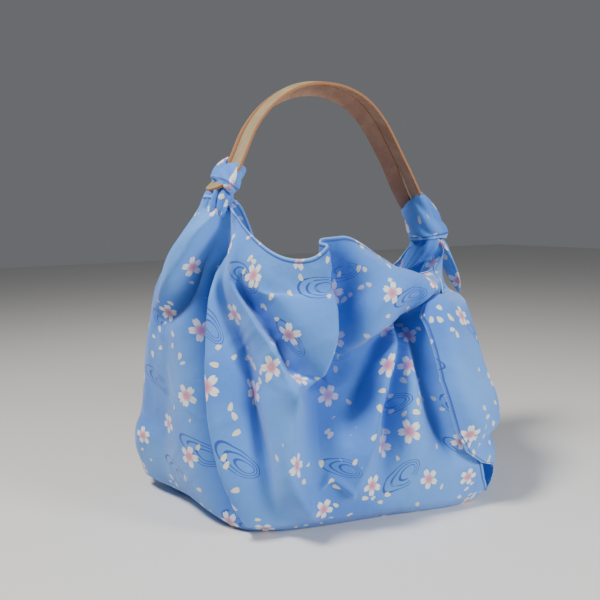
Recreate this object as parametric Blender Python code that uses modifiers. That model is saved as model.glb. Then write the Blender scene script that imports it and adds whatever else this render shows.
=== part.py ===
"""A furoshiki wrap bag: one square cloth, tied at both ends round a leather ring that serves as its handle.

Metres, +Z up. The origin is on the surface that the bag stands on, under the middle of its filled body,
and its front faces -Y. A place on the cloth is (around, up): `around` runs from 0 at the left side through
0.25 at the front, 0.5 at the right and 0.75 at the back, and `up` from 0 at the foot to 1 at the mouth.
"""

from math import cos, pi, radians, sin

import bmesh
import bpy
import numpy as np
from mathutils import Vector

CLOTH_THICK = 0.002
LEATHER_THICK = 0.003
STRAND_WIDE = 0.018  # each of the leather ring's two strands
TIE_GAP = 0.0008  # between the leather and the cloth tied round it
ROUND_BAG = 1.05  # the bag's girth at its widest
FLAT_INSET = 0.08  # from the foot's outline to its middle, where the bottom is truly flat

# The filled body: how far up the cloth each level lies, its height, and where its four sides stand.
# The shoulder's height is a share of the way from the level below to the mouth's edge.
SIDES = {
    #            up    height   left    front  right   back
    "foot": (0.00, 0.0010, -0.120, -0.120, 0.157, 0.080),
    "heel": (0.09, 0.0180, -0.138, -0.135, 0.184, 0.104),
    "low": (0.25, 0.0600, -0.151, -0.140, 0.195, 0.115),
    "mid": (0.47, 0.1250, -0.153, -0.129, 0.192, 0.112),
    "high": (0.72, 0.1950, -0.152, -0.109, 0.185, 0.093),
    "shoulder": (0.87, 0.50, -0.139, -0.105, 0.176, 0.082),
}
# The x and y of each level's four corners.
CORNERS = {
    #         left front        right front      right back      left back
    "foot": ((-0.097, -0.086), (0.148, -0.126), (0.137, 0.072), (-0.130, 0.078)),
    "heel": ((-0.106, -0.097), (0.162, -0.132), (0.160, 0.094), (-0.144, 0.092)),
    "low": ((-0.110, -0.102), (0.165, -0.132), (0.172, 0.104), (-0.145, 0.092)),
    "mid": ((-0.113, -0.094), (0.165, -0.117), (0.172, 0.098), (-0.139, 0.082)),
    "high": ((-0.108, -0.078), (0.157, -0.094), (0.160, 0.078), (-0.130, 0.060)),
    "shoulder": ((-0.100, -0.066), (0.152, -0.068), (0.150, 0.052), (-0.112, 0.034)),
}
# Where the sides and corners lie, around: left, left front, front, right front, right and so on.
SIDES_AROUND = (0.0, 0.125, 0.26, 0.395, 0.50, 0.605, 0.74, 0.875)

# The cloth's top edge: gathered into a neck at each knot, and sagging between the necks as the mouth.
TOP_EDGE = (
    # around     x       y      z
    (0.000, -0.115, -0.042, 0.321),
    (0.040, -0.108, -0.050, 0.320),
    (0.080, -0.097, -0.052, 0.315),
    (0.120, -0.080, -0.073, 0.284),
    (0.160, -0.062, -0.095, 0.267),
    (0.200, -0.040, -0.108, 0.266),
    (0.240, -0.020, -0.110, 0.279),
    (0.280, 0.010, -0.098, 0.278),
    (0.320, 0.055, -0.082, 0.256),
    (0.360, 0.098, -0.066, 0.235),
    (0.400, 0.142, -0.040, 0.233),
    (0.440, 0.174, -0.022, 0.240),
    (0.480, 0.194, -0.007, 0.257),
    (0.520, 0.191, 0.009, 0.269),
    (0.560, 0.168, 0.019, 0.264),
    (0.600, 0.154, 0.040, 0.236),
    (0.640, 0.122, 0.056, 0.220),
    (0.700, 0.062, 0.068, 0.214),
    (0.760, 0.004, 0.062, 0.226),
    (0.820, -0.030, 0.032, 0.260),
    (0.880, -0.056, -0.003, 0.294),
    (0.930, -0.078, -0.026, 0.316),
    (0.970, -0.105, -0.032, 0.322),
)

# Folds that run up the cloth to a knot, each through four places from the foot up. A ridge's `out` is
# above 0, and a valley's below. Its two flanks are `before` wide, on the left, and `after`, on the right.
# `lean` shifts the crest sideways, to the right of the front where it is above 0.
FOLDS = (
    # name         places from the foot up, each (around, up)                    before  after   out   lean
    ("left ear", (-0.092, 0.04), (-0.088, 0.10), (-0.076, 0.20), (-0.060, 0.32), 0.050, 0.044, 0.011, 0.0),
    ("left crease", (-0.020, 0.20), (-0.010, 0.36), (0.000, 0.52), (0.010, 0.70), 0.020, 0.030, -0.006, 0.0),
    ("corner dip", (0.114, 0.12), (0.100, 0.38), (0.098, 0.60), (0.103, 0.92), 0.026, 0.006, -0.044, 0.006),
    ("corner leaf", (0.130, 0.10), (0.115, 0.38), (0.112, 0.60), (0.111, 0.92), 0.006, 0.020, 0.018, -0.012),
    ("leaf valley", (0.156, 0.20), (0.150, 0.42), (0.143, 0.66), (0.117, 0.90), 0.010, 0.006, -0.022, 0.0),
    ("roll", (0.188, 0.12), (0.170, 0.28), (0.176, 0.42), (0.181, 0.56), 0.018, 0.010, 0.022, 0.002),
    ("roll's top", (0.180, 0.50), (0.168, 0.63), (0.148, 0.75), (0.121, 0.92), 0.009, 0.006, 0.022, 0.002),
    ("cowl dip", (0.192, 0.56), (0.180, 0.66), (0.161, 0.78), (0.130, 0.92), 0.006, 0.010, -0.024, -0.003),
    ("under cowl", (0.200, 0.30), (0.204, 0.42), (0.208, 0.52), (0.216, 0.62), 0.016, 0.026, -0.014, 0.0),
    ("belly crease", (0.198, 0.22), (0.204, 0.24), (0.212, 0.22), (0.224, 0.17), 0.006, 0.010, 0.006, 0.0),
    ("swag valley", (0.231, 0.42), (0.256, 0.56), (0.281, 0.68), (0.312, 0.80), 0.022, 0.008, -0.022, 0.0),
    ("slant ridge", (0.226, 0.22), (0.248, 0.44), (0.278, 0.62), (0.312, 0.80), 0.010, 0.013, 0.018, 0.002),
    ("slant valley", (0.258, 0.26), (0.272, 0.46), (0.291, 0.62), (0.315, 0.80), 0.012, 0.012, -0.022, 0.0),
    ("small ridge", (0.284, 0.28), (0.292, 0.46), (0.302, 0.62), (0.316, 0.78), 0.008, 0.010, 0.009, 0.0),
    ("flap valley", (0.318, 0.26), (0.312, 0.45), (0.310, 0.60), (0.314, 0.82), 0.014, 0.006, -0.020, 0.0),
    ("flap front", (0.345, 0.30), (0.336, 0.46), (0.334, 0.62), (0.340, 0.84), 0.012, 0.022, 0.012, -0.004),
    ("right dip", (0.425, 0.40), (0.415, 0.52), (0.412, 0.66), (0.430, 0.84), 0.024, 0.030, -0.008, 0.0),
    ("right ridge", (0.500, 0.10), (0.502, 0.36), (0.505, 0.62), (0.506, 0.94), 0.020, 0.014, 0.014, 0.006),
    ("right valley", (0.540, 0.10), (0.530, 0.36), (0.524, 0.62), (0.516, 0.95), 0.012, 0.018, -0.020, 0.0),
    ("side ridge", (0.574, 0.08), (0.562, 0.36), (0.552, 0.62), (0.534, 0.95), 0.016, 0.022, 0.016, -0.004),
    ("deep valley", (0.612, 0.14), (0.596, 0.40), (0.584, 0.66), (0.560, 0.93), 0.014, 0.016, -0.024, 0.0),
    ("right roll", (0.650, 0.08), (0.636, 0.36), (0.622, 0.60), (0.588, 0.92), 0.014, 0.024, 0.018, -0.006),
    ("back dip", (0.706, 0.22), (0.688, 0.44), (0.666, 0.66), (0.626, 0.90), 0.018, 0.016, -0.016, 0.0),
    ("back ridge", (0.742, 0.22), (0.724, 0.42), (0.702, 0.62), (0.670, 0.82), 0.014, 0.022, 0.010, 0.0),
    ("left roll", (0.792, 0.08), (0.808, 0.36), (0.830, 0.62), (0.864, 0.92), 0.022, 0.012, 0.016, 0.006),
    ("left valley", (0.824, 0.12), (0.838, 0.38), (0.856, 0.62), (0.884, 0.92), 0.014, 0.018, -0.022, 0.0),
    ("left ridge", (0.858, 0.12), (0.866, 0.36), (0.880, 0.60), (0.904, 0.90), 0.012, 0.016, 0.010, 0.0),
)
CREST = 1.6  # how round a fold's crest is: 2 is the roundest
PRESSED = 0.5  # how far the folds are pressed flat where the cloth is tied
LAP_PRESSED = 0.50  # and how far the laps are

# The slack of the mouth's front edge hangs out over itself as a cowl. Its right edge folds back behind it.
COWL = (
    # up    left edge  right edge  out
    (0.515, 0.192, 0.194, 0.000),
    (0.545, 0.191, 0.200, 0.014),
    (0.590, 0.190, 0.203, 0.025),
    (0.640, 0.185, 0.207, 0.030),
    (0.740, 0.167, 0.211, 0.032),
    (0.840, 0.147, 0.212, 0.028),
    (0.920, 0.121, 0.214, 0.020),
    (1.000, 0.092, 0.225, 0.010),
)
COWL_LAP = 0.018  # how far its right edge laps over the cloth behind it
COWL_TUCK = 0.012  # how far that cloth is drawn in behind it
COWL_SHADE = 0.024  # how deep the cloth lies beside its right edge
COWL_LIP = 0.008  # how far its lower lip drops

# Where the slack hangs over the cloth below it: a lower edge, how far it stands out over that cloth, and
# how far its lip drops.
OVERHANGS = {
    "swag": (
        # around  edge up   out     drop
        (0.222, 0.600, 0.000, 0.000),
        (0.245, 0.660, 0.008, 0.004),
        (0.270, 0.700, 0.012, 0.007),
        (0.295, 0.740, 0.014, 0.008),
        (0.320, 0.800, 0.012, 0.006),
        (0.345, 0.860, 0.008, 0.003),
        (0.375, 0.900, 0.005, 0.001),
        (0.430, 0.930, 0.002, 0.000),
        (0.460, 0.950, 0.000, 0.000),
    ),
    "left flap": (
        (-0.050, 0.740, 0.000, 0.000),
        (-0.020, 0.770, 0.006, 0.003),
        (0.010, 0.800, 0.013, 0.008),
        (0.040, 0.838, 0.020, 0.013),
        (0.060, 0.878, 0.022, 0.013),
        (0.075, 0.930, 0.010, 0.005),
        (0.086, 0.970, 0.003, 0.001),
        (0.098, 1.000, 0.000, 0.000),
    ),
    "right tip": (
        (0.325, 0.325, 0.000, 0.000),
        (0.350, 0.330, 0.004, 0.002),
        (0.375, 0.330, 0.006, 0.005),
        (0.392, 0.330, 0.007, 0.006),
        (0.420, 0.340, 0.004, 0.002),
        (0.450, 0.340, 0.000, 0.000),
    ),
}
OVERHANG_RISE = 0.040  # of the way up the cloth, from the shadow under an edge to its full size
OVERHANG_REACH = 0.20  # of the way up, over which it dies away above
OVERHANG_HOLLOW = 0.8  # of what it stands out, how deep the cloth lies under its edge
OVERHANG_PRESSED = 0.8  # how far it is pressed flat where the cloth is tied

# The cloth's two side hems, each from its low point at the foot up to a knot. There the cloth folds round
# so that half of the hem belongs to the front of the bag and half to the back, and they lap.
RIGHT_HEMS = (
    # up   front's hem  back's hem
    (0.045, 0.380, 0.380),
    (0.090, 0.370, 0.391),
    (0.130, 0.362, 0.393),
    (0.170, 0.358, 0.379),
    (0.210, 0.356, 0.351),
    (0.260, 0.360, 0.333),
    (0.330, 0.366, 0.327),
    (0.500, 0.380, 0.321),
    (0.720, 0.390, 0.320),
    (0.770, 0.394, 0.328),
    (0.820, 0.400, 0.350),
    (0.880, 0.413, 0.390),
    (0.940, 0.434, 0.426),
    (1.000, 0.450, 0.446),
)
LEFT_HEMS = (
    # up   back's hem  front's hem
    (0.045, 0.905, 0.905),
    (0.090, 0.897, 0.914),
    (0.130, 0.897, 0.912),
    (0.190, 0.908, 0.903),
    (0.260, 0.920, 0.893),
    (0.500, 0.935, 0.885),
    (0.760, 0.945, 0.885),
    (0.900, 0.950, 0.915),
    (1.000, 0.965, 0.955),
)
LAP_OUT = 0.0050  # the outer layer of a lap stands this far off
LAP_IN = 0.0040  # and the inner layer lies this far in
LAP_BLEND = 0.035  # around, from a lap's edge to where both are one surface again

# The leather ring stands in one upright plane as an arch. `along` runs in that plane from the left.
RING_FACING = radians(10)  # how far the plane is turned from the X axis
RING_BACK = -0.026  # y of the plane over the origin
RING_ROUTE = (
    # along    z
    (-0.114, 0.325),
    (-0.105, 0.331),
    (-0.096, 0.341),
    (-0.087, 0.357),
    (-0.072, 0.385),
    (-0.047, 0.412),
    (-0.020, 0.428),
    (0.014, 0.436),
    (0.046, 0.434),
    (0.075, 0.423),
    (0.098, 0.404),
    (0.119, 0.376),
    (0.137, 0.349),
    (0.151, 0.325),
    (0.163, 0.304),
    (0.171, 0.290),
)
STRANDS = (
    # share of the route, half the gap between the strands, and how far the front and the back strand
    # roll down at their outer edges
    (0.00, 0.0020, radians(0), radians(0)),
    (0.05, 0.0020, radians(2), radians(8)),
    (0.08, 0.0036, radians(4), radians(30)),
    (0.12, 0.0040, radians(2), radians(36)),
    (0.20, 0.0038, radians(2), radians(36)),
    (0.28, 0.0030, radians(6), radians(38)),
    (0.37, 0.0012, radians(10), radians(38)),
    (0.47, 0.0004, radians(12), radians(34)),
    (0.80, 0.0004, radians(8), radians(26)),
    (0.87, 0.0020, radians(8), radians(24)),
    (0.95, 0.0020, radians(2), radians(8)),
    (1.00, 0.0020, radians(0), radians(0)),
)
RING_SECTIONS = (52, 8)  # along each strand, and round each end
KNOT_SHARE = 0.14  # of the route, at each end, that the knots may reach

# What is tied: lumps of gathered cloth, each a row of oval sections. Each section stands square to the line
# through the middles; `wide` and `deep` are half its sizes, and `wide` is measured across the ring's plane.
# `slant` is how far its front side lies ahead along that line, and its back side behind.
TIED = {
    "left neck": (
        # x       y       z       wide    deep    slant
        (-0.1090, -0.0405, 0.2960, 0.0080, 0.0050, 0.000),
        (-0.1075, -0.0415, 0.3050, 0.0160, 0.0110, 0.000),
        (-0.1040, -0.0430, 0.3150, 0.0165, 0.0120, 0.000),
        (-0.1000, -0.0440, 0.3230, 0.0160, 0.0115, 0.000),
        (-0.0960, -0.0445, 0.3300, 0.0110, 0.0070, 0.000),
    ),
    "left band": (
        (-0.0990, -0.0445, 0.3285, 0.0175, 0.0080, -0.005),
        (-0.0975, -0.0443, 0.3302, 0.0221, 0.0110, -0.005),
        (-0.0945, -0.0435, 0.3348, 0.0223, 0.0112, -0.004),
        (-0.0905, -0.0427, 0.3410, 0.0216, 0.0100, -0.001),
        (-0.0875, -0.0421, 0.3455, 0.0210, 0.0085, 0.001),
        (-0.0865, -0.0419, 0.3470, 0.0180, 0.0060, 0.001),
    ),
    "left ear": (
        (-0.1000, -0.0400, 0.3330, 0.0080, 0.0050, 0.000),
        (-0.0990, -0.0370, 0.3410, 0.0100, 0.0050, 0.000),
        (-0.0935, -0.0325, 0.3500, 0.0080, 0.0040, 0.000),
        (-0.0860, -0.0290, 0.3570, 0.0022, 0.0015, 0.000),
    ),
    "right tail": (
        (0.1880, 0.0060, 0.2745, 0.0060, 0.0045, 0.000),
        (0.1975, 0.0030, 0.2625, 0.0085, 0.0045, 0.000),
        (0.2060, 0.0030, 0.2480, 0.0105, 0.0032, 0.000),
        (0.2140, 0.0030, 0.2320, 0.0110, 0.0028, 0.000),
        (0.2220, 0.0030, 0.2150, 0.0080, 0.0022, 0.000),
        (0.2280, 0.0030, 0.2000, 0.0012, 0.0010, 0.000),
    ),
    "right neck": (
        (0.1600, 0.0270, 0.2300, 0.0040, 0.0025, 0.000),
        (0.1660, 0.0210, 0.2420, 0.0120, 0.0050, 0.000),
        (0.1730, 0.0140, 0.2540, 0.0170, 0.0090, 0.000),
        (0.1780, 0.0080, 0.2650, 0.0190, 0.0130, 0.000),
        (0.1790, 0.0060, 0.2760, 0.0150, 0.0110, 0.000),
    ),
    "right bell": (
        (0.1550, 0.0020, 0.3160, 0.0180, 0.0060, -0.007),
        (0.1562, 0.0020, 0.3135, 0.0218, 0.0090, -0.008),
        (0.1630, 0.0030, 0.3035, 0.0235, 0.0138, -0.004),
        (0.1722, 0.0040, 0.2900, 0.0240, 0.0178, -0.001),
        (0.1790, 0.0045, 0.2795, 0.0238, 0.0200, 0.000),
        (0.1808, 0.0045, 0.2720, 0.0238, 0.0210, 0.000),
        (0.1810, 0.0045, 0.2705, 0.0210, 0.0180, 0.000),
    ),
}
TIED_ROUND = 20  # points round each section
CREASES = 5  # round a lump, where the gathered cloth is pressed in
CREASE_DEEP = 0.05  # of the section's size
SQUARE = 0.8  # 1 makes the sections plain ovals, and less makes them squarer

ROWS_UP = (0.0, 0.045, 0.09, 0.13, 0.17, 0.21, 0.26, 0.32, 0.39, 0.46, 0.52, 0.57, 0.62, 0.67, 0.71, 0.745,
           0.775, 0.80, 0.825, 0.85, 0.88, 0.92, 0.96, 1.0)
# The sheet's columns follow these lines between the hems, so that they run along the folds. A row is the
# column, out of the half's own, and where the line runs at the given places up the cloth.
GUIDE_UP = (0.00, 0.25, 0.45, 0.56, 0.64, 0.74, 0.84, 0.92, 1.00)
FRONT_COLUMNS = 56
FRONT_GUIDES = (
    (11, (0.112, 0.105, 0.099, 0.098, 0.099, 0.102, 0.105, 0.105, 0.078)),
    (14, (0.128, 0.121, 0.114, 0.113, 0.113, 0.114, 0.115, 0.113, 0.083)),
    (18, (0.160, 0.156, 0.150, 0.147, 0.144, 0.140, 0.133, 0.120, 0.088)),
    (21, (0.186, 0.174, 0.178, 0.178, 0.168, 0.152, 0.139, 0.124, 0.092)),
    (23, (0.192, 0.184, 0.190, 0.190, 0.181, 0.166, 0.147, 0.128, 0.096)),
    (25, (0.200, 0.196, 0.196, 0.198, 0.190, 0.176, 0.155, 0.134, 0.102)),
    (32, (0.206, 0.206, 0.206, 0.203, 0.207, 0.212, 0.214, 0.216, 0.227)),
    (36, (0.220, 0.222, 0.226, 0.224, 0.226, 0.230, 0.233, 0.237, 0.250)),
    (41, (0.232, 0.240, 0.252, 0.266, 0.280, 0.298, 0.312, 0.330, 0.350)),
    (44, (0.256, 0.262, 0.274, 0.284, 0.293, 0.306, 0.318, 0.345, 0.368)),
    (48, (0.310, 0.314, 0.312, 0.311, 0.311, 0.313, 0.324, 0.366, 0.392)),
)
BACK_COLUMNS = 34
BACK_GUIDES = (
    (5, (0.420, 0.385, 0.372, 0.368, 0.366, 0.368, 0.402, 0.450, 0.498)),
    (13, (0.560, 0.556, 0.550, 0.548, 0.546, 0.544, 0.544, 0.546, 0.552)),
    (17, (0.650, 0.640, 0.630, 0.625, 0.620, 0.615, 0.610, 0.606, 0.600)),
    (28, (0.812, 0.820, 0.828, 0.832, 0.836, 0.840, 0.846, 0.850, 0.860)),
)


def smooth_step(low, high, value):
    """0 below low, 1 above high, and an even curve between."""
    share = np.clip((value - low) / np.maximum(high - low, 1e-6), 0, 1)
    return share * share * (3 - 2 * share)


def through(knots, values, at, period=None):
    """A smooth curve through values at knots, read at the places `at`."""
    knots, values = np.array(knots, float), np.array(values, float)
    if period:
        knots = np.concatenate([knots[-2:] - period, knots, knots[:2] + period])
        values = np.concatenate([values[-2:], values, values[:2]])
    slopes = np.gradient(values, knots, axis=0)
    at = np.asarray(at, float)
    i = np.clip(np.searchsorted(knots, at, side="right") - 1, 0, len(knots) - 2)
    gap = knots[i + 1] - knots[i]
    t = (at - knots[i]) / gap
    if values.ndim > 1:
        gap, t = gap[..., None], t[..., None]
    return (
        (2 * t**3 - 3 * t**2 + 1) * values[i]
        + (t**3 - 2 * t**2 + t) * gap * slopes[i]
        + (3 * t**2 - 2 * t**3) * values[i + 1]
        + (t**3 - t**2) * gap * slopes[i + 1]
    )


def level_points(name, around):
    """Points of one level's outline."""
    _, height, left, front, right, back = SIDES[name]
    corners = CORNERS[name]
    left_front, right_front, right_back, left_back = corners
    outline = (
        (left, (left_front[1] + left_back[1]) / 2),
        left_front,
        ((left_front[0] + right_front[0]) / 2, front),
        right_front,
        (right, (right_front[1] + right_back[1]) / 2),
        right_back,
        ((left_back[0] + right_back[0]) / 2, back),
        left_back,
    )
    points = [(x, y, height) for x, y in outline]
    return through(SIDES_AROUND, points, np.mod(around, 1.0), 1.0)


def filled_body(around, up):
    """Points of the filled cloth without its folds."""
    around, up = np.broadcast_arrays(np.asarray(around, float), np.asarray(up, float))
    table = np.array(TOP_EDGE)
    edge = through(table[:, 0], table[:, 1:], np.mod(around, 1.0), 1.0)
    rings = [level_points(name, around) for name in SIDES]
    below, shoulder = rings[-2], rings[-1]
    shoulder[..., 2] = below[..., 2] + shoulder[..., 2] * (edge[..., 2] - below[..., 2])
    rings = np.array(rings + [edge])
    ups = np.array([row[0] for row in SIDES.values()] + [1.0])
    slopes = np.empty_like(rings)
    for k in range(len(ups)):
        low, high = max(k - 1, 0), min(k + 1, len(ups) - 1)
        slopes[k] = (rings[high] - rings[low]) / (ups[high] - ups[low])
    i = np.clip(np.searchsorted(ups, up, side="right") - 1, 0, len(ups) - 2)
    gap = (ups[i + 1] - ups[i])[..., None]
    t = (up[..., None] - ups[i][..., None]) / gap

    def pick(rows, index):
        return np.take_along_axis(rows, index[None, ..., None], 0)[0]

    return (
        (2 * t**3 - 3 * t**2 + 1) * pick(rings, i)
        + (t**3 - 2 * t**2 + t) * gap * pick(slopes, i)
        + (3 * t**2 - 2 * t**3) * pick(rings, i + 1)
        + (t**3 - t**2) * gap * pick(slopes, i + 1)
    )


def directions(around, up):
    """Unit vectors along `around`, along `up` and outwards, and how much the cloth is gathered (1: not)."""
    step = 0.002
    high, low = np.minimum(up + step, 1.0), np.maximum(up - step, 0.0)
    along = (filled_body(around + step, up) - filled_body(around - step, up)) / (2 * step)
    rise = filled_body(around, high) - filled_body(around, low)
    spread = np.linalg.norm(along, axis=-1)
    out = np.cross(along, rise)
    unit = [v / np.maximum(np.linalg.norm(v, axis=-1), 1e-9)[..., None] for v in (along, rise, out)]
    return (*unit, np.clip(spread / ROUND_BAG, 0, 1))


def fold_offsets(around, up):
    """How far the folds that run to the knots move the cloth: out, and sideways."""
    out, lean = np.zeros(up.shape), np.zeros(up.shape)
    for _, *places, before, after, depth, slant in FOLDS:
        lines, ups = zip(*places)
        if min(np.diff(ups)) > 0:
            share = (up - ups[0]) / (ups[-1] - ups[0])
            middle = through(ups, lines, np.clip(up, ups[0] - 0.1, ups[-1] + 0.1))
            away = np.mod(around - middle + 0.5, 1.0) - 0.5
        else:
            share = (around - lines[0]) / (lines[-1] - lines[0])
            away = up - through(lines, ups, np.clip(around, lines[0] - 0.01, lines[-1] + 0.01))
            away = away * 0.5
        bump = np.exp(-np.abs(away / np.where(away < 0, before, after)) ** CREST)
        bump = bump * smooth_step(-0.20, 0.25, share) * (1 - smooth_step(0.85, 1.15, share))
        out += depth * bump
        lean += slant * bump
    return out, lean


def cowl_offsets(around, up):
    """How far the cowl moves the cloth: out, sideways and up."""
    table = np.array(COWL)
    left, right, depth = (np.interp(up, table[:, 0], table[:, k]) for k in (1, 2, 3))
    size = depth / table[:, 3].max()
    past_left, past_right = around - left, around - right
    out = depth * smooth_step(-0.010, 0.008, past_left) * (1 - smooth_step(-0.008, 0.006, past_right))
    out -= COWL_SHADE * size * np.exp(-(((past_right - 0.020) / 0.016) ** 2))
    lean = COWL_LAP * size * np.exp(-(((past_right + 0.009) / 0.010) ** 2))
    lean -= COWL_TUCK * size * np.exp(-(((past_right - 0.010) / 0.011) ** 2))
    lip = np.exp(-(((up - 0.59) / 0.05) ** 2)) * (past_left > -0.02) * (past_right < 0.02)
    return out, lean, -COWL_LIP * lip * size


def overhang_offsets(around, up):
    """How far the overhangs move the cloth: out and up."""
    out, rise = np.zeros(up.shape), np.zeros(up.shape)
    for rows in OVERHANGS.values():
        table = np.array(rows)
        middle = table[len(table) // 2, 0]
        near = np.mod(around - middle + 0.5, 1.0) - 0.5 + middle
        edge, depth, fall = (np.interp(near, table[:, 0], table[:, k]) for k in (1, 2, 3))
        above = (up - edge) / OVERHANG_RISE
        fade = 1 - smooth_step(edge + 0.05, np.minimum(edge + OVERHANG_REACH, 1.1), up)
        out += depth * smooth_step(-0.5, 0.5, above) * fade
        out -= OVERHANG_HOLLOW * depth * np.exp(-((above + 1.0) ** 2))
        rise -= fall * np.exp(-(((above - 0.4) / 0.8) ** 2))
    return out, rise


def folded(around, up):
    """Points of the cloth with its folds."""
    around, up = np.broadcast_arrays(np.asarray(around, float), np.asarray(up, float))
    beside, rise, outwards, gathered = directions(around, up)
    fold_out, fold_lean = fold_offsets(around, up)
    cowl_out, cowl_lean, cowl_rise = cowl_offsets(around, up)
    over_out, over_rise = overhang_offsets(around, up)
    settled = smooth_step(0.0, 0.10, up) * (1 - PRESSED * smooth_step(0.80, 0.96, up))
    over_out = over_out * (1 - OVERHANG_PRESSED * smooth_step(0.93, 1.0, up))
    out = (fold_out * settled * gathered + cowl_out + over_out)[..., None] * outwards
    lean = (fold_lean * settled * gathered + cowl_lean)[..., None] * beside
    points = filled_body(around, up) + out + lean + (cowl_rise + over_rise)[..., None] * rise
    points[..., 2] = np.maximum(points[..., 2], CLOTH_THICK / 2)
    return points


def lifted(around, up, layer):
    """Points of the cloth, moved square off its folded surface by `layer`."""
    step = 0.004
    ahead = folded(around + step, up) - folded(around - step, up)
    above = folded(around, np.minimum(up + step, 1.0)) - folded(around, np.maximum(up - step, 0.0))
    square = np.cross(ahead, above)
    square /= np.linalg.norm(square, axis=-1)[..., None]
    return folded(around, up) + layer[..., None] * square


def hem_places(table, column, up):
    """Where a hem runs, around, at a place up the cloth; below its low point it is not cut."""
    table = np.array(table)
    return np.interp(max(up, table[0, 0]), table[:, 0], table[:, column])


def panel(columns, guides, start, end):
    """One half of the cloth, from its hem at `start` to its hem at `end`, as rows of points.

    Each is (table, its own column, the other half's column, turn, layer): a layer above 0 lies over the
    other half where the two lap, and one below 0 lies under it.
    """
    rows = []
    for up in ROWS_UP:
        first, first_other, last, last_other = (
            hem_places(side[0], side[column], up) + side[3] for side in (start, end) for column in (1, 2)
        )
        at = [0] + [row[0] for row in guides] + [columns]
        lines = [first] + [np.interp(up, GUIDE_UP, row[1]) for row in guides] + [last]
        around = np.interp(np.arange(columns + 1), at, lines)
        layer = np.zeros(around.shape)
        for lap, inwards, height in (
            (first_other - first, around - first, start[4]),
            (last - last_other, last - around, end[4]),
        ):
            lapped = smooth_step(-0.015, 0.015, lap) * (up > 0.05)
            pressed = 1 - LAP_PRESSED * smooth_step(0.80, 0.92, up)
            layer += height * lapped * pressed * (1 - smooth_step(lap, lap + LAP_BLEND, inwards))
        rows.append(lifted(around, up, layer))
    return rows


def make_object(name, bm, colour, roughness):
    """An object with its own material, in the bag's collection."""
    mesh = bpy.data.meshes.new(name)
    bm.to_mesh(mesh)
    bm.free()
    mesh.shade_smooth()
    mesh.materials.append(make_material(name, colour, roughness))
    made = bpy.data.objects.new(name, mesh)
    bag.objects.link(made)
    return made


def make_material(name, colour, roughness):
    material = bpy.data.materials.new(name)
    material.use_nodes = True
    shader = material.node_tree.nodes["Principled BSDF"]
    shader.inputs["Base Color"].default_value = (*colour, 1.0)
    shader.inputs["Roughness"].default_value = roughness
    return material


def make_cloth_sheet():
    """The square of cloth as it is draped: its two halves, joined along the foot, and the flat bottom."""
    left_of_front = (LEFT_HEMS, 2, 1, -1.0, LAP_OUT)
    right_of_front = (RIGHT_HEMS, 1, 2, 0.0, -LAP_IN)
    left_of_back = (LEFT_HEMS, 1, 2, 0.0, -LAP_IN)
    right_of_back = (RIGHT_HEMS, 2, 1, 0.0, LAP_OUT)
    front = panel(FRONT_COLUMNS, FRONT_GUIDES, left_of_front, right_of_front)
    back = panel(BACK_COLUMNS, BACK_GUIDES, right_of_back, left_of_back)
    bm = bmesh.new()
    halves = [[[bm.verts.new(point) for point in row] for row in half] for half in (front, back)]
    for k in (0, 1):
        for mine, other in ((halves[0][k], halves[1][k]), (halves[1][k], halves[0][k])):
            bm.verts.remove(mine[-1])
            mine[-1] = other[0]
    for half in halves:
        for lower, upper in zip(half, half[1:]):
            for i in range(len(lower) - 1):
                corners = (lower[i], lower[i + 1], upper[i + 1], upper[i])
                bm.faces.new(dict.fromkeys(corners))
    foot = halves[0][0][:-1] + halves[1][0][:-1]
    middle = sum((vert.co for vert in foot), Vector()) / len(foot)
    inner = [bm.verts.new(vert.co.lerp(middle, FLAT_INSET)) for vert in foot]
    centre = bm.verts.new(middle)
    for i in range(len(foot)):
        bm.faces.new((foot[i - 1], inner[i - 1], inner[i], foot[i]))
        bm.faces.new((inner[i - 1], centre, inner[i]))
    bmesh.ops.recalc_face_normals(bm, faces=bm.faces)
    return bm


def skin(rings, closed=False):
    """A solid through rings of points, with a face over each end unless it is closed on itself."""
    bm = bmesh.new()
    rings = [[bm.verts.new(point) for point in ring] for ring in rings]
    if closed:
        rings.append(rings[0])
    else:
        bm.faces.new(rings[0])
        bm.faces.new(rings[-1])
    for lower, upper in zip(rings, rings[1:]):
        for i in range(len(lower)):
            bm.faces.new((lower[i - 1], lower[i], upper[i], upper[i - 1]))
    bmesh.ops.recalc_face_normals(bm, faces=bm.faces)
    return bm


def tied_rings(rows):
    """The oval sections of one lump of gathered cloth, pressed in at its creases."""
    rows = np.array(rows)
    middles = [Vector(row[:3]) for row in rows]
    across = Vector((sin(RING_FACING), -cos(RING_FACING), 0.0))
    turns = 2 * pi * np.arange(TIED_ROUND) / TIED_ROUND
    rings = []
    for k, (middle, row) in enumerate(zip(middles, rows)):
        line = (middles[min(k + 1, len(rows) - 1)] - middles[max(k - 1, 0)]).normalized()
        wide = (across - line * across.dot(line)).normalized()
        deep = line.cross(wide)
        ring = []
        for turn in turns:
            size = 1 - CREASE_DEEP * (0.5 + 0.5 * cos(CREASES * turn + 0.6 * k))
            side, out = (np.copysign(abs(part) ** SQUARE, part) * size for part in (cos(turn), sin(turn)))
            ring.append(middle + wide * row[3] * side + line * row[5] * side + deep * row[4] * out)
        rings.append(ring)
    return rings


def ring_route():
    """The ring's route, and how far along it each of its points lies."""
    route = np.array(RING_ROUTE)
    return route, np.concatenate([[0.0], np.cumsum(np.hypot(*np.diff(route, axis=0).T))])


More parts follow.
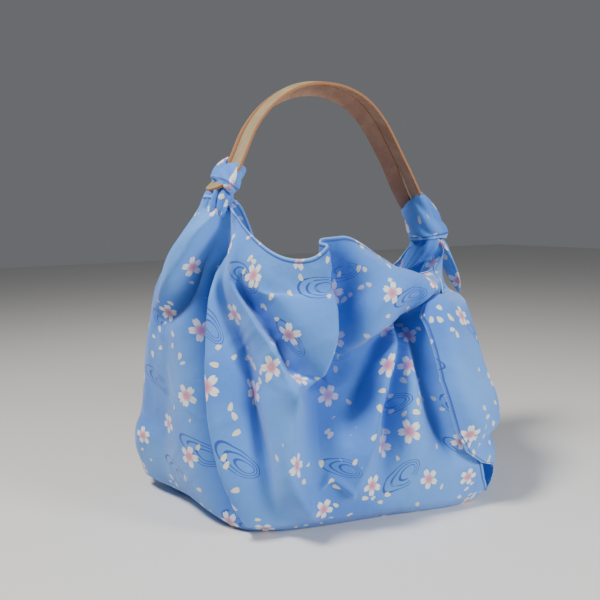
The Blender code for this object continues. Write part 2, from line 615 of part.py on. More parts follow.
def ring_line(start, end):
    """The middle line of the ring between two shares of its route: (run, beside, and which way is outwards).

    It goes along the front strand and back along the other one, with a round turn at each end of the route
    that it reaches.
    """
    length = ring_route()[1][-1]
    strands = np.array(STRANDS)
    turn_round = strands[0, 1] + STRAND_WIDE / 2
    reach = turn_round + STRAND_WIDE / 2
    first, last = max(start * length, reach), min(end * length, length - reach)
    many, round_end = RING_SECTIONS
    many = max(round(many * (last - first) / length), 3)
    runs = first + (last - first) * (np.arange(many) + 0.5) / many
    half = np.interp(runs / length, strands[:, 0], strands[:, 1]) + STRAND_WIDE / 2
    turns = pi * (np.arange(round_end) + 0.5) / round_end
    line = [(run, side, 0.0, 1.0) for run, side in zip(runs, half)]
    if end == 1:
        line += [(last + turn_round * sin(t), turn_round * cos(t), sin(t), cos(t)) for t in turns]
    line += [(run, -side, 0.0, -1.0) for run, side in zip(runs[::-1], half[::-1])]
    if start == 0:
        line += [(first - turn_round * sin(t), -turn_round * cos(t), -sin(t), -cos(t)) for t in turns]
    if end < 1:
        line = line[many:] + line[:many]
    return line


def ring_place(run, beside, lift):
    """A point of the ring: `beside` its middle plane, and `lift` off the strap's middle, in its own frame."""
    route, steps = ring_route()
    strands = np.array(STRANDS)
    along, height = through(steps, route, run)
    slope = Vector(through(steps, route, run + 0.001) - through(steps, route, run - 0.001)).normalized()
    in_plane = Vector((cos(RING_FACING), sin(RING_FACING), 0.0))
    across = Vector((sin(RING_FACING), -cos(RING_FACING), 0.0))
    rise = in_plane * -slope[1] + Vector((0, 0, slope[0]))
    side, column = (1, 2) if beside > 0 else (-1, 3)
    gap = np.interp(run / steps[-1], strands[:, 0], strands[:, 1])
    roll = np.interp(run / steps[-1], strands[:, 0], strands[:, column])
    out = abs(beside) - gap
    return (
        in_plane * along
        + Vector((0, RING_BACK, height))
        + across * side * (gap + out * cos(roll) + lift * sin(roll))
        + rise * (lift * cos(roll) - out * sin(roll))
    )


def ring_bar(start=0, end=1, grow=0.0):
    """The leather ring, or the run of it between two shares of its route, grown by `grow` all round."""
    half_wide, half_thick = STRAND_WIDE / 2 + grow, LEATHER_THICK / 2 + grow
    edge = 0.3 * LEATHER_THICK
    outline = (
        (half_wide, -half_thick + edge), (half_wide, half_thick - edge), (half_wide - edge, half_thick),
        (edge - half_wide, half_thick), (-half_wide, half_thick - edge), (-half_wide, -half_thick + edge),
        (edge - half_wide, -half_thick), (half_wide - edge, -half_thick),
    )
    rings = [
        [ring_place(run + out_run * out, beside + out_beside * out, lift) for out, lift in outline]
        for run, beside, out_run, out_beside in ring_line(start, end)
    ]
    if start == 0 and end == 1:
        return skin(rings, closed=True)
    return skin(rings)


def cutter(name, bm):
    """A solid that only shapes another one."""
    mesh = bpy.data.meshes.new(name)
    bm.to_mesh(mesh)
    bm.free()
    made = bpy.data.objects.new(name, mesh)
    made.hide_render = True
    made.display_type = "WIRE"
    cutters.objects.link(made)
    return made


def combine(target, other, operation, solver="EXACT"):
    step = target.modifiers.new(other.name, "BOOLEAN")
    step.operation = operation
    step.solver = solver
    step.object = other


# The bag's two pieces.
for old in list(bpy.data.objects):
    bpy.data.objects.remove(old)
bag = bpy.data.collections.new("furoshiki_bag")
cutters = bpy.data.collections.new("cutters")
bpy.context.scene.collection.children.link(bag)
bpy.context.scene.collection.children.link(cutters)

cloth = make_object("cloth", make_cloth_sheet(), (0.25, 0.46, 0.80), 0.8)
thicken = cloth.modifiers.new("thickness", "SOLIDIFY")
thicken.thickness = CLOTH_THICK
thicken.offset = 0.0
for name, rows in TIED.items():
    combine(cloth, cutter(name.replace(" ", "_"), skin(tied_rings(rows))), "UNION")
for name, start, end in (("room_in_left_knot", 0, KNOT_SHARE), ("room_in_right_knot", 1 - KNOT_SHARE, 1)):
    combine(cloth, cutter(name, ring_bar(start, end, TIE_GAP)), "DIFFERENCE", "MANIFOLD")
handle = make_object("handle", ring_bar(), (0.45, 0.33, 0.20), 0.55)
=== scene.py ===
"""A furoshiki wrap bag: one square of printed cotton, tied at both ends round a slotted leather ring."""

from math import cos, pi, radians, sin

import bmesh
import bpy
import numpy as np
from mathutils import Matrix, Vector, noise


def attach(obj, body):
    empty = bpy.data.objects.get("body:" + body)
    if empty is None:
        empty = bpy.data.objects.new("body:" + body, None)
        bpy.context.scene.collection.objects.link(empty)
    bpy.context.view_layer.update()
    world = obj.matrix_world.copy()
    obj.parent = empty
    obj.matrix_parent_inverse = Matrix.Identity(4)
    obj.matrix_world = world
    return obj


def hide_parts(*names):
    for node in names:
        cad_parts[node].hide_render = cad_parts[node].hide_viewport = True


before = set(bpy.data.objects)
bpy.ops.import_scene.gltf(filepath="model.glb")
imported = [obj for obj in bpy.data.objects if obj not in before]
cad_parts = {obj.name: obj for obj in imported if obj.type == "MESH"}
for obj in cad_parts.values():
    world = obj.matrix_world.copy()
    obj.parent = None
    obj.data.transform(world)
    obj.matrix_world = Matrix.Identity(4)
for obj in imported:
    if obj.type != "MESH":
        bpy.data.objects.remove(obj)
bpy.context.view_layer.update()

# ---------------------------------------------------------------------------------------------------------
# The cloth: one square of fine cotton with a narrow rolled hem all round, folded in half over the foot of
# the bag. Each side's hem turns at a low point by the foot and runs up both halves to a knot, where they
# lap. A place on it is (around, up): around from 0 at the left through 0.25 at the front to 1, up 0 to 1.

CLOTH_THICK = 0.0007
HEM_WIDE = 0.0045
HEM_THICK = 2.4  # times the cloth
ROUND_BAG = 1.05  # the bag's girth at its widest

# The filled body: how far up the cloth each level lies, its height, and where its four sides stand.
# The shoulder's height is a share of the way from the level below to the mouth's edge.
SIDES = {
    #            up    height   left    front  right   back
    "foot": (0.00, 0.0010, -0.120, -0.120, 0.157, 0.080),
    "heel": (0.09, 0.0180, -0.138, -0.135, 0.184, 0.104),
    "low": (0.25, 0.0600, -0.151, -0.140, 0.195, 0.115),
    "mid": (0.47, 0.1250, -0.153, -0.129, 0.192, 0.112),
    "high": (0.72, 0.1950, -0.152, -0.109, 0.185, 0.093),
    "shoulder": (0.87, 0.50, -0.139, -0.105, 0.176, 0.082),
}
# The x and y of each level's four corners.
CORNERS = {
    #         left front        right front      right back      left back
    "foot": ((-0.097, -0.086), (0.148, -0.126), (0.137, 0.072), (-0.130, 0.078)),
    "heel": ((-0.106, -0.097), (0.162, -0.132), (0.160, 0.094), (-0.144, 0.092)),
    "low": ((-0.110, -0.102), (0.165, -0.132), (0.172, 0.104), (-0.145, 0.092)),
    "mid": ((-0.113, -0.094), (0.165, -0.117), (0.172, 0.098), (-0.139, 0.082)),
    "high": ((-0.108, -0.078), (0.157, -0.094), (0.160, 0.078), (-0.130, 0.060)),
    "shoulder": ((-0.100, -0.066), (0.152, -0.068), (0.150, 0.052), (-0.112, 0.034)),
}
# Where the sides and corners lie, around: left, left front, front, right front, right and so on.
SIDES_AROUND = (0.0, 0.125, 0.26, 0.395, 0.50, 0.605, 0.74, 0.875)

# The cloth's top edge: gathered into a neck at each knot, and sagging between the necks as the mouth.
TOP_EDGE = (
    # around     x       y      z
    (0.000, -0.115, -0.042, 0.321),
    (0.040, -0.108, -0.050, 0.320),
    (0.080, -0.097, -0.052, 0.315),
    (0.120, -0.080, -0.073, 0.284),
    (0.160, -0.062, -0.095, 0.267),
    (0.200, -0.040, -0.108, 0.266),
    (0.240, -0.020, -0.110, 0.279),
    (0.280, 0.010, -0.098, 0.278),
    (0.320, 0.055, -0.082, 0.256),
    (0.360, 0.098, -0.066, 0.235),
    (0.400, 0.142, -0.040, 0.233),
    (0.440, 0.174, -0.022, 0.240),
    (0.480, 0.194, -0.007, 0.257),
    (0.520, 0.191, 0.009, 0.269),
    (0.560, 0.168, 0.019, 0.264),
    (0.600, 0.154, 0.040, 0.236),
    (0.640, 0.122, 0.056, 0.220),
    (0.700, 0.062, 0.068, 0.214),
    (0.760, 0.004, 0.062, 0.226),
    (0.820, -0.030, 0.032, 0.260),
    (0.880, -0.056, -0.003, 0.294),
    (0.930, -0.078, -0.026, 0.316),
    (0.970, -0.105, -0.032, 0.322),
)

# Folds that run up the cloth to a knot, each through four places from the foot up. A ridge's `out` is
# above 0, and a valley's below. Its two flanks are `before` wide, on the left, and `after`, on the right.
# `lean` shifts the crest sideways, to the right of the front where it is above 0.
FOLDS = (
    # name         places from the foot up, each (around, up)                    before  after   out   lean
    ("left ear", (-0.092, 0.04), (-0.088, 0.10), (-0.076, 0.20), (-0.060, 0.32), 0.050, 0.044, 0.011, 0.0),
    ("left crease", (-0.020, 0.20), (-0.010, 0.36), (0.000, 0.52), (0.010, 0.70), 0.020, 0.030, -0.006, 0.0),
    ("corner dip", (0.114, 0.12), (0.100, 0.38), (0.098, 0.60), (0.103, 0.92), 0.026, 0.006, -0.044, 0.006),
    ("corner leaf", (0.130, 0.10), (0.115, 0.38), (0.112, 0.60), (0.111, 0.92), 0.006, 0.020, 0.018, -0.012),
    ("leaf valley", (0.156, 0.20), (0.150, 0.42), (0.143, 0.66), (0.117, 0.90), 0.010, 0.006, -0.022, 0.0),
    ("roll", (0.188, 0.12), (0.170, 0.28), (0.176, 0.42), (0.181, 0.56), 0.018, 0.010, 0.022, 0.002),
    ("roll's top", (0.180, 0.50), (0.168, 0.63), (0.148, 0.75), (0.121, 0.92), 0.009, 0.006, 0.022, 0.002),
    ("cowl dip", (0.192, 0.56), (0.180, 0.66), (0.161, 0.78), (0.130, 0.92), 0.006, 0.010, -0.024, -0.003),
    ("under cowl", (0.200, 0.30), (0.204, 0.42), (0.208, 0.52), (0.216, 0.62), 0.016, 0.026, -0.014, 0.0),
    ("belly crease", (0.198, 0.22), (0.204, 0.24), (0.212, 0.22), (0.224, 0.17), 0.006, 0.010, 0.006, 0.0),
    ("swag valley", (0.231, 0.42), (0.256, 0.56), (0.281, 0.68), (0.312, 0.80), 0.022, 0.008, -0.022, 0.0),
    ("slant ridge", (0.226, 0.22), (0.248, 0.44), (0.278, 0.62), (0.312, 0.80), 0.010, 0.013, 0.018, 0.002),
    ("slant valley", (0.258, 0.26), (0.272, 0.46), (0.291, 0.62), (0.315, 0.80), 0.012, 0.012, -0.022, 0.0),
    ("small ridge", (0.284, 0.28), (0.292, 0.46), (0.302, 0.62), (0.316, 0.78), 0.008, 0.010, 0.009, 0.0),
    ("flap valley", (0.318, 0.26), (0.312, 0.45), (0.310, 0.60), (0.314, 0.82), 0.014, 0.006, -0.020, 0.0),
    ("flap front", (0.345, 0.30), (0.336, 0.46), (0.334, 0.62), (0.340, 0.84), 0.012, 0.022, 0.012, -0.004),
    ("right dip", (0.425, 0.40), (0.415, 0.52), (0.412, 0.66), (0.430, 0.84), 0.024, 0.030, -0.008, 0.0),
    ("right ridge", (0.500, 0.10), (0.502, 0.36), (0.505, 0.62), (0.506, 0.94), 0.020, 0.014, 0.014, 0.006),
    ("right valley", (0.540, 0.10), (0.530, 0.36), (0.524, 0.62), (0.516, 0.95), 0.012, 0.018, -0.020, 0.0),
    ("side ridge", (0.574, 0.08), (0.562, 0.36), (0.552, 0.62), (0.534, 0.95), 0.016, 0.022, 0.016, -0.004),
    ("deep valley", (0.612, 0.14), (0.596, 0.40), (0.584, 0.66), (0.560, 0.93), 0.014, 0.016, -0.024, 0.0),
    ("right roll", (0.650, 0.08), (0.636, 0.36), (0.622, 0.60), (0.588, 0.92), 0.014, 0.024, 0.018, -0.006),
    ("back dip", (0.706, 0.22), (0.688, 0.44), (0.666, 0.66), (0.626, 0.90), 0.018, 0.016, -0.016, 0.0),
    ("back ridge", (0.742, 0.22), (0.724, 0.42), (0.702, 0.62), (0.670, 0.82), 0.014, 0.022, 0.010, 0.0),
    ("left roll", (0.792, 0.08), (0.808, 0.36), (0.830, 0.62), (0.864, 0.92), 0.022, 0.012, 0.016, 0.006),
    ("left valley", (0.824, 0.12), (0.838, 0.38), (0.856, 0.62), (0.884, 0.92), 0.014, 0.018, -0.022, 0.0),
    ("left ridge", (0.858, 0.12), (0.866, 0.36), (0.880, 0.60), (0.904, 0.90), 0.012, 0.016, 0.010, 0.0),
)
CREST = 1.6  # how round a fold's crest is: 1 is a sharp ridge, and 2 a round one
FOLD_STARTS = (-0.20, 0.25)  # of a fold's length, from where there is nothing of it to its full depth
FOLD_ENDS = (0.85, 1.15)  # of its length, from its full depth to nothing
RUNS_ON_UP = 0.1  # how far past its two ends a fold's line is followed, up the cloth
RUNS_ON_AROUND = 0.01  # and around it, for a crease that lies across
UP_AS_AROUND = 0.5  # what a step up the cloth counts for around it, for a crease that lies across
SETTLED_UP = 0.10  # how far up the cloth the folds have settled: there are none at the foot

# Where the cloth is tied it is pressed flat: how far, and over which stretch up the cloth this comes on.
FOLDS_PRESSED = (0.5, 0.80, 0.96)
LAPS_PRESSED = (0.85, 0.80, 0.92)
OVERHANGS_PRESSED = (0.8, 0.93, 1.0)

# The slack of the mouth's front edge hangs out over itself as a cowl. Its right edge folds back behind it.
COWL = (
    # up    left edge  right edge  out
    (0.515, 0.192, 0.194, 0.000),
    (0.545, 0.191, 0.200, 0.014),
    (0.590, 0.190, 0.203, 0.025),
    (0.640, 0.185, 0.207, 0.030),
    (0.740, 0.167, 0.211, 0.032),
    (0.840, 0.147, 0.212, 0.028),
    (0.920, 0.121, 0.214, 0.020),
    (1.000, 0.092, 0.225, 0.010),
)
COWL_STARTS = (-0.010, 0.008)  # around, past its left edge: from nothing to its full depth
COWL_ENDS = (-0.006, 0.004)  # around, past its right edge: from its full depth to nothing
COWL_LAP = 0.018  # how far its right edge laps over the cloth behind it
COWL_TUCK = 0.012  # how far that cloth is drawn in behind it
COWL_HOLLOW = 0.024  # how deep the cloth lies beside its right edge
COWL_LIP = 0.008  # how far its lower lip drops
# Where each of those is at its most, and how wide it reaches: around, past the right edge.
LAP_AT = (-0.007, 0.0075)
TUCK_AT = (0.010, 0.011)
HOLLOW_AT = (0.020, 0.016)
LIP_AT = (0.59, 0.05)  # this one up the cloth
LIP_PAST = 0.02  # around, how far past the cowl's two edges the lip goes on

# Where the slack hangs over the cloth below it: a lower edge, how far it stands out over that cloth, and
# how far its lip drops.
OVERHANGS = {
    "swag": (
        # around  edge up   out     drop
        (0.222, 0.600, 0.000, 0.000),
        (0.245, 0.660, 0.008, 0.004),
        (0.270, 0.700, 0.012, 0.007),
        (0.295, 0.740, 0.014, 0.008),
        (0.320, 0.800, 0.012, 0.006),
        (0.345, 0.860, 0.008, 0.003),
        (0.375, 0.900, 0.005, 0.001),
        (0.430, 0.930, 0.002, 0.000),
        (0.460, 0.950, 0.000, 0.000),
    ),
    "left flap": (
        (-0.050, 0.740, 0.000, 0.000),
        (-0.020, 0.770, 0.006, 0.003),
        (0.010, 0.800, 0.013, 0.008),
        (0.040, 0.838, 0.020, 0.013),
        (0.060, 0.878, 0.022, 0.013),
        (0.075, 0.930, 0.010, 0.005),
        (0.086, 0.970, 0.003, 0.001),
        (0.098, 1.000, 0.000, 0.000),
    ),
    "right tip": (
        (0.325, 0.325, 0.000, 0.000),
        (0.350, 0.330, 0.004, 0.002),
        (0.375, 0.330, 0.006, 0.005),
        (0.392, 0.330, 0.007, 0.006),
        (0.420, 0.340, 0.004, 0.002),
        (0.450, 0.340, 0.000, 0.000),
    ),
}
OVERHANG_RISE = 0.040  # of the way up the cloth, from the shadow under an edge to its full size
OVERHANG_WHOLE = 0.05  # of the way up, over which it keeps that size
OVERHANG_REACH = 0.20  # of the way up, by which it has died away
OVERHANG_END = 1.1  # and it has died away by here at the latest, which is past the cloth's edge
OVERHANG_HOLLOW = 0.8  # of what it stands out, how deep the cloth lies under its edge
# Where the hollow and the dropped lip are at their most, and how wide they reach, in rises above the edge.
UNDER_EDGE_AT = (-1.0, 1.0)
DROP_AT = (0.4, 0.8)

# The cloth's two side hems, each from its low point at the foot up to a knot. There the cloth folds round
# so that half of the hem belongs to the front of the bag and half to the back, and they lap.
RIGHT_HEMS = (
    # up   front's hem  back's hem
    (0.045, 0.380, 0.380),
    (0.090, 0.370, 0.391),
    (0.130, 0.362, 0.393),
    (0.170, 0.358, 0.379),
    (0.210, 0.356, 0.351),
    (0.260, 0.360, 0.333),
    (0.330, 0.366, 0.327),
    (0.500, 0.380, 0.321),
    (0.720, 0.390, 0.320),
    (0.770, 0.394, 0.328),
    (0.820, 0.400, 0.350),
    (0.880, 0.416, 0.380),
    (0.940, 0.440, 0.406),
    (1.000, 0.458, 0.426),
)
LEFT_HEMS = (
    # up   back's hem  front's hem
    (0.045, 0.905, 0.905),
    (0.090, 0.897, 0.914),
    (0.130, 0.897, 0.912),
    (0.190, 0.908, 0.903),
    (0.260, 0.920, 0.893),
    (0.500, 0.935, 0.885),
    (0.760, 0.945, 0.885),
    (0.900, 0.950, 0.915),
    (1.000, 0.965, 0.955),
)
LAP_OUT = 0.0050  # the outer layer of a lap stands this far off
LAP_IN = 0.0040  # and the inner layer lies this far in
LAP_BLEND = 0.035  # around, from a lap's edge to where both are one surface again
LAP_PARTS = 0.015  # around, from this far before the hems meet to this far past it the layers part
LAPPED_UP = 0.05  # how far up the cloth the laps begin

# The sheet's columns follow these lines between the hems, so that they run along the folds. A row is the
# column, out of the half's own, and where the line runs at the given places up the cloth.
GUIDE_UP = (0.00, 0.25, 0.45, 0.56, 0.64, 0.74, 0.84, 0.92, 1.00)
FRONT_COLUMNS = 56
FRONT_GUIDES = (
    (11, (0.112, 0.105, 0.099, 0.098, 0.099, 0.102, 0.105, 0.105, 0.078)),
    (14, (0.128, 0.121, 0.114, 0.113, 0.113, 0.114, 0.115, 0.113, 0.083)),
    (18, (0.160, 0.156, 0.150, 0.147, 0.144, 0.140, 0.133, 0.120, 0.088)),
    (21, (0.186, 0.174, 0.178, 0.178, 0.168, 0.152, 0.139, 0.124, 0.092)),
    (23, (0.192, 0.184, 0.190, 0.190, 0.181, 0.166, 0.147, 0.128, 0.096)),
    (25, (0.200, 0.196, 0.196, 0.198, 0.190, 0.176, 0.155, 0.134, 0.102)),
    (32, (0.206, 0.206, 0.206, 0.203, 0.207, 0.212, 0.214, 0.216, 0.227)),
    (36, (0.220, 0.222, 0.226, 0.224, 0.226, 0.230, 0.233, 0.237, 0.250)),
    (41, (0.232, 0.240, 0.252, 0.266, 0.280, 0.298, 0.312, 0.330, 0.350)),
    (44, (0.256, 0.262, 0.274, 0.284, 0.293, 0.306, 0.318, 0.345, 0.368)),
    (48, (0.310, 0.314, 0.312, 0.311, 0.311, 0.313, 0.324, 0.366, 0.392)),
)
BACK_COLUMNS = 34
BACK_GUIDES = (
    (5, (0.420, 0.385, 0.372, 0.368, 0.366, 0.368, 0.402, 0.450, 0.498)),
    (13, (0.560, 0.556, 0.550, 0.548, 0.546, 0.544, 0.544, 0.546, 0.552)),
    (17, (0.650, 0.640, 0.630, 0.625, 0.620, 0.615, 0.610, 0.606, 0.600)),
    (28, (0.812, 0.820, 0.828, 0.832, 0.836, 0.840, 0.846, 0.850, 0.860)),
)


def smooth_step(low, high, value):
    """0 below low, 1 above high, and an even curve between."""
    share = np.clip((value - low) / np.maximum(high - low, 1e-6), 0, 1)
    return share * share * (3 - 2 * share)


def swell(value, middle, width):
    """A rounded swell: 1 at its middle, and all but gone two widths away."""
    return np.exp(-(((value - middle) / width) ** 2))


def unit(vectors):
    """The vectors, each made one long."""
    return vectors / np.maximum(np.linalg.norm(vectors, axis=-1), 1e-9)[..., None]


def across_gap(t, gap, start, start_slope, end, end_slope):
    """A smooth curve from start to end with these slopes there, read t of the way over the gap."""
    return (
        (2 * t**3 - 3 * t**2 + 1) * start
        + (t**3 - 2 * t**2 + t) * gap * start_slope
        + (3 * t**2 - 2 * t**3) * end
        + (t**3 - t**2) * gap * end_slope
    )


def through(knots, values, at, period=None):
    """A smooth curve through values at knots, read at the places `at`."""
    knots, values = np.array(knots, float), np.array(values, float)
    if period:
        knots = np.concatenate([knots[-2:] - period, knots, knots[:2] + period])
        values = np.concatenate([values[-2:], values, values[:2]])
    slopes = np.gradient(values, knots, axis=0)
    at = np.asarray(at, float)
    i = np.clip(np.searchsorted(knots, at, side="right") - 1, 0, len(knots) - 2)
    gap = knots[i + 1] - knots[i]
    t = (at - knots[i]) / gap
    if values.ndim > 1:
        gap, t = gap[..., None], t[..., None]
    return across_gap(t, gap, values[i], slopes[i], values[i + 1], slopes[i + 1])


def round_from(middle, around):
    """How far `around` lies past `middle`, by the shorter way round the bag."""
    return np.mod(around - middle + 0.5, 1.0) - 0.5


def level_points(name, around):
    """Points of one level's outline."""
    _, height, left, front, right, back = SIDES[name]
    corners = CORNERS[name]
    left_front, right_front, right_back, left_back = corners
    outline = (
        (left, (left_front[1] + left_back[1]) / 2),
        left_front,
        ((left_front[0] + right_front[0]) / 2, front),
        right_front,
        (right, (right_front[1] + right_back[1]) / 2),
        right_back,
        ((left_back[0] + right_back[0]) / 2, back),
        left_back,
    )
    points = [(x, y, height) for x, y in outline]
    return through(SIDES_AROUND, points, np.mod(around, 1.0), 1.0)


def filled_body(around, up):
    """Points of the filled cloth without its folds."""
    around, up = np.broadcast_arrays(np.asarray(around, float), np.asarray(up, float))
    table = np.array(TOP_EDGE)
    edge = through(table[:, 0], table[:, 1:], np.mod(around, 1.0), 1.0)
    rings = [level_points(name, around) for name in SIDES]
    below, shoulder = rings[-2], rings[-1]
    shoulder[..., 2] = below[..., 2] + shoulder[..., 2] * (edge[..., 2] - below[..., 2])
    rings = np.array(rings + [edge])
    ups = np.array([row[0] for row in SIDES.values()] + [1.0])
    slopes = np.empty_like(rings)
    for k in range(len(ups)):
        low, high = max(k - 1, 0), min(k + 1, len(ups) - 1)
        slopes[k] = (rings[high] - rings[low]) / (ups[high] - ups[low])
    i = np.clip(np.searchsorted(ups, up, side="right") - 1, 0, len(ups) - 2)
    gap = (ups[i + 1] - ups[i])[..., None]
    t = (up[..., None] - ups[i][..., None]) / gap

    def pick(rows, index):
        return np.take_along_axis(rows, index[None, ..., None], 0)[0]

    return across_gap(t, gap, pick(rings, i), pick(slopes, i), pick(rings, i + 1), pick(slopes, i + 1))


def directions(around, up):
    """Unit vectors along `around`, along `up` and outwards, and how much the cloth is gathered (1: not)."""
    step = 0.002
    high, low = np.minimum(up + step, 1.0), np.maximum(up - step, 0.0)
    along = (filled_body(around + step, up) - filled_body(around - step, up)) / (2 * step)
    rise = filled_body(around, high) - filled_body(around, low)
    gathered = np.clip(np.linalg.norm(along, axis=-1) / ROUND_BAG, 0, 1)
    return unit(along), unit(rise), unit(np.cross(along, rise)), gathered


def fold_offsets(around, up):
    """How far the folds that run to the knots move the cloth: out, and sideways."""
    out, lean = np.zeros(up.shape), np.zeros(up.shape)
    for _, *places, before, after, depth, slant in FOLDS:
        lines, ups = zip(*places)
        if min(np.diff(ups)) > 0:
            share = (up - ups[0]) / (ups[-1] - ups[0])
            middle = through(ups, lines, np.clip(up, ups[0] - RUNS_ON_UP, ups[-1] + RUNS_ON_UP))
            away = round_from(middle, around)
        else:
            share = (around - lines[0]) / (lines[-1] - lines[0])
            near = np.clip(around, lines[0] - RUNS_ON_AROUND, lines[-1] + RUNS_ON_AROUND)
            away = (up - through(lines, ups, near)) * UP_AS_AROUND
        bump = np.exp(-np.abs(away / np.where(away < 0, before, after)) ** CREST)
        bump = bump * smooth_step(*FOLD_STARTS, share) * (1 - smooth_step(*FOLD_ENDS, share))
        out += depth * bump
        lean += slant * bump
    return out, lean


def beside_cowl(around, up):
    """How far out the cowl hangs at this height, the same as a share of its most, and how far past its left
    and its right edge a place lies."""
    table = np.array(COWL)
    near = np.clip(up, table[0, 0], 1.0)
    left, right, depth = (through(table[:, 0], table[:, k], near) for k in (1, 2, 3))
    return depth, depth / table[:, 3].max(), around - left, around - right


def cowl_offsets(around, up):
    """How far the cowl moves the cloth: out, sideways and up."""
    depth, size, past_left, past_right = beside_cowl(around, up)
    out = depth * smooth_step(*COWL_STARTS, past_left) * (1 - smooth_step(*COWL_ENDS, past_right))
    out -= COWL_HOLLOW * size * swell(past_right, *HOLLOW_AT)
    lean = COWL_LAP * size * swell(past_right, *LAP_AT)
    lean -= COWL_TUCK * size * swell(past_right, *TUCK_AT)
    lip = swell(up, *LIP_AT) * (past_left > -LIP_PAST) * (past_right < LIP_PAST)
    return out, lean, -COWL_LIP * lip * size


def overhang_offsets(around, up):
    """How far the overhangs move the cloth: out and up."""
    out, rise = np.zeros(up.shape), np.zeros(up.shape)
    for rows in OVERHANGS.values():
        table = np.array(rows)
        middle = table[len(table) // 2, 0]
        near = round_from(middle, around) + middle
        edge, depth, fall = (np.interp(near, table[:, 0], table[:, k]) for k in (1, 2, 3))
        above = (up - edge) / OVERHANG_RISE
        end = np.minimum(edge + OVERHANG_REACH, OVERHANG_END)
        out += depth * smooth_step(-0.5, 0.5, above) * (1 - smooth_step(edge + OVERHANG_WHOLE, end, up))
        out -= OVERHANG_HOLLOW * depth * swell(above, *UNDER_EDGE_AT)
        rise -= fall * swell(above, *DROP_AT)
    return out, rise


def pressed(up, press, start, end):
    """What is left of a form where the cloth is pressed flat: 1 is all of it."""
    return 1 - press * smooth_step(start, end, up)


def folded(around, up):
    """Points of the cloth with its folds."""
    around, up = np.broadcast_arrays(np.asarray(around, float), np.asarray(up, float))
    beside, rise, outwards, gathered = directions(around, up)
    fold_out, fold_lean = fold_offsets(around, up)
    cowl_out, cowl_lean, cowl_rise = cowl_offsets(around, up)
    over_out, over_rise = overhang_offsets(around, up)
    settled = smooth_step(0.0, SETTLED_UP, up) * pressed(up, *FOLDS_PRESSED)
    over_out = over_out * pressed(up, *OVERHANGS_PRESSED)
    out = (fold_out * settled * gathered + cowl_out + over_out)[..., None] * outwards
    lean = (fold_lean * settled * gathered + cowl_lean)[..., None] * beside
    points = filled_body(around, up) + out + lean + (cowl_rise + over_rise)[..., None] * rise
    points[..., 2] = np.maximum(points[..., 2], CLOTH_THICK / 2)
    return points


def lifted(around, up, layer):
    """Points of the cloth, moved square off its folded surface by `layer`."""
    step = 0.004
    ahead = folded(around + step, up) - folded(around - step, up)
    above = folded(around, np.minimum(up + step, 1.0)) - folded(around, np.maximum(up - step, 0.0))
    return folded(around, up) + layer[..., None] * unit(np.cross(ahead, above))


def hem_places(table, column, up):
    """Where a hem runs, around, at a place up the cloth; below its low point it is not cut."""
    table = np.array(table)
    return np.interp(np.maximum(up, table[0, 0]), table[:, 0], table[:, column])


WRINKLE = 0.0024  # how far the small creases that run up the cloth stand out
CREASES = (26, 3.2)  # how closely they lie, around and up
CREASE_SHARP = 3  # how narrow each is for the room it has
CREASES_WANDER = (5, 4)  # how closely they sway, around and up
WANDER_FAR = 1.6  # how far they sway, in creases
CREASED_PATCHES = (9, 5)  # how closely the patches lie that have creases, around and up
CREASED_SHARE = 0.35  # how much of the cloth those take in: 1 is all of it
WRINKLED_UP = (0.06, 0.20)  # up the cloth, from where there are none to where they have their full depth


def wrinkles(around, up):
    """How far the small creases move the cloth out."""
    heights = np.empty(around.size)
    for k, (a, u) in enumerate(zip(around.ravel(), up.ravel())):
        drift = WANDER_FAR * noise.noise((CREASES_WANDER[0] * a, CREASES_WANDER[1] * u, 7.0))
        line = noise.noise((CREASES[0] * a + drift, CREASES[1] * u, 0.0))
        patch = noise.noise((CREASED_PATCHES[0] * a, CREASED_PATCHES[1] * u, 3.0))
        heights[k] = (1 - min(CREASE_SHARP * abs(line), 1)) ** 2 * max(patch + CREASED_SHARE, 0)
    return WRINKLE * heights.reshape(around.shape) * smooth_step(*WRINKLED_UP, up)


COLUMNS_TO_ONE = 4  # columns of the fine sheet to each one that the guide lines count
JOINED_UP = 0.045  # below the hems' low points both halves are one cloth
FOOT_ROWS = 6
BODY_ROWS = 124
TOP_HEM_ROWS = (0.984, 0.987, 0.9885, 0.994, 1.0)  # close together at the top hem's inner edge
DEEP_VALLEY = 0.016  # how far in the cloth lies where a valley is at its deepest, and so where the painted shade in it is full
# The cloth beside the cowl's right edge gets a painted shadow of the cowl, as dark as a valley's painted
# shade: where it is darkest, how wide that reaches, and from where to where it begins, all around and past
# that edge.
COWL_SHADOW_PAINT_AT = (0.030, 0.026)
COWL_SHADOW_PAINT_STARTS = (-0.003, 0.002)


def rows_up():
    """How far up each row of the sheet lies."""
    foot = np.linspace(0.0, JOINED_UP, FOOT_ROWS + 1)[:-1]
    return np.concatenate([foot, np.linspace(JOINED_UP, TOP_HEM_ROWS[0], BODY_ROWS), TOP_HEM_ROWS[1:]])


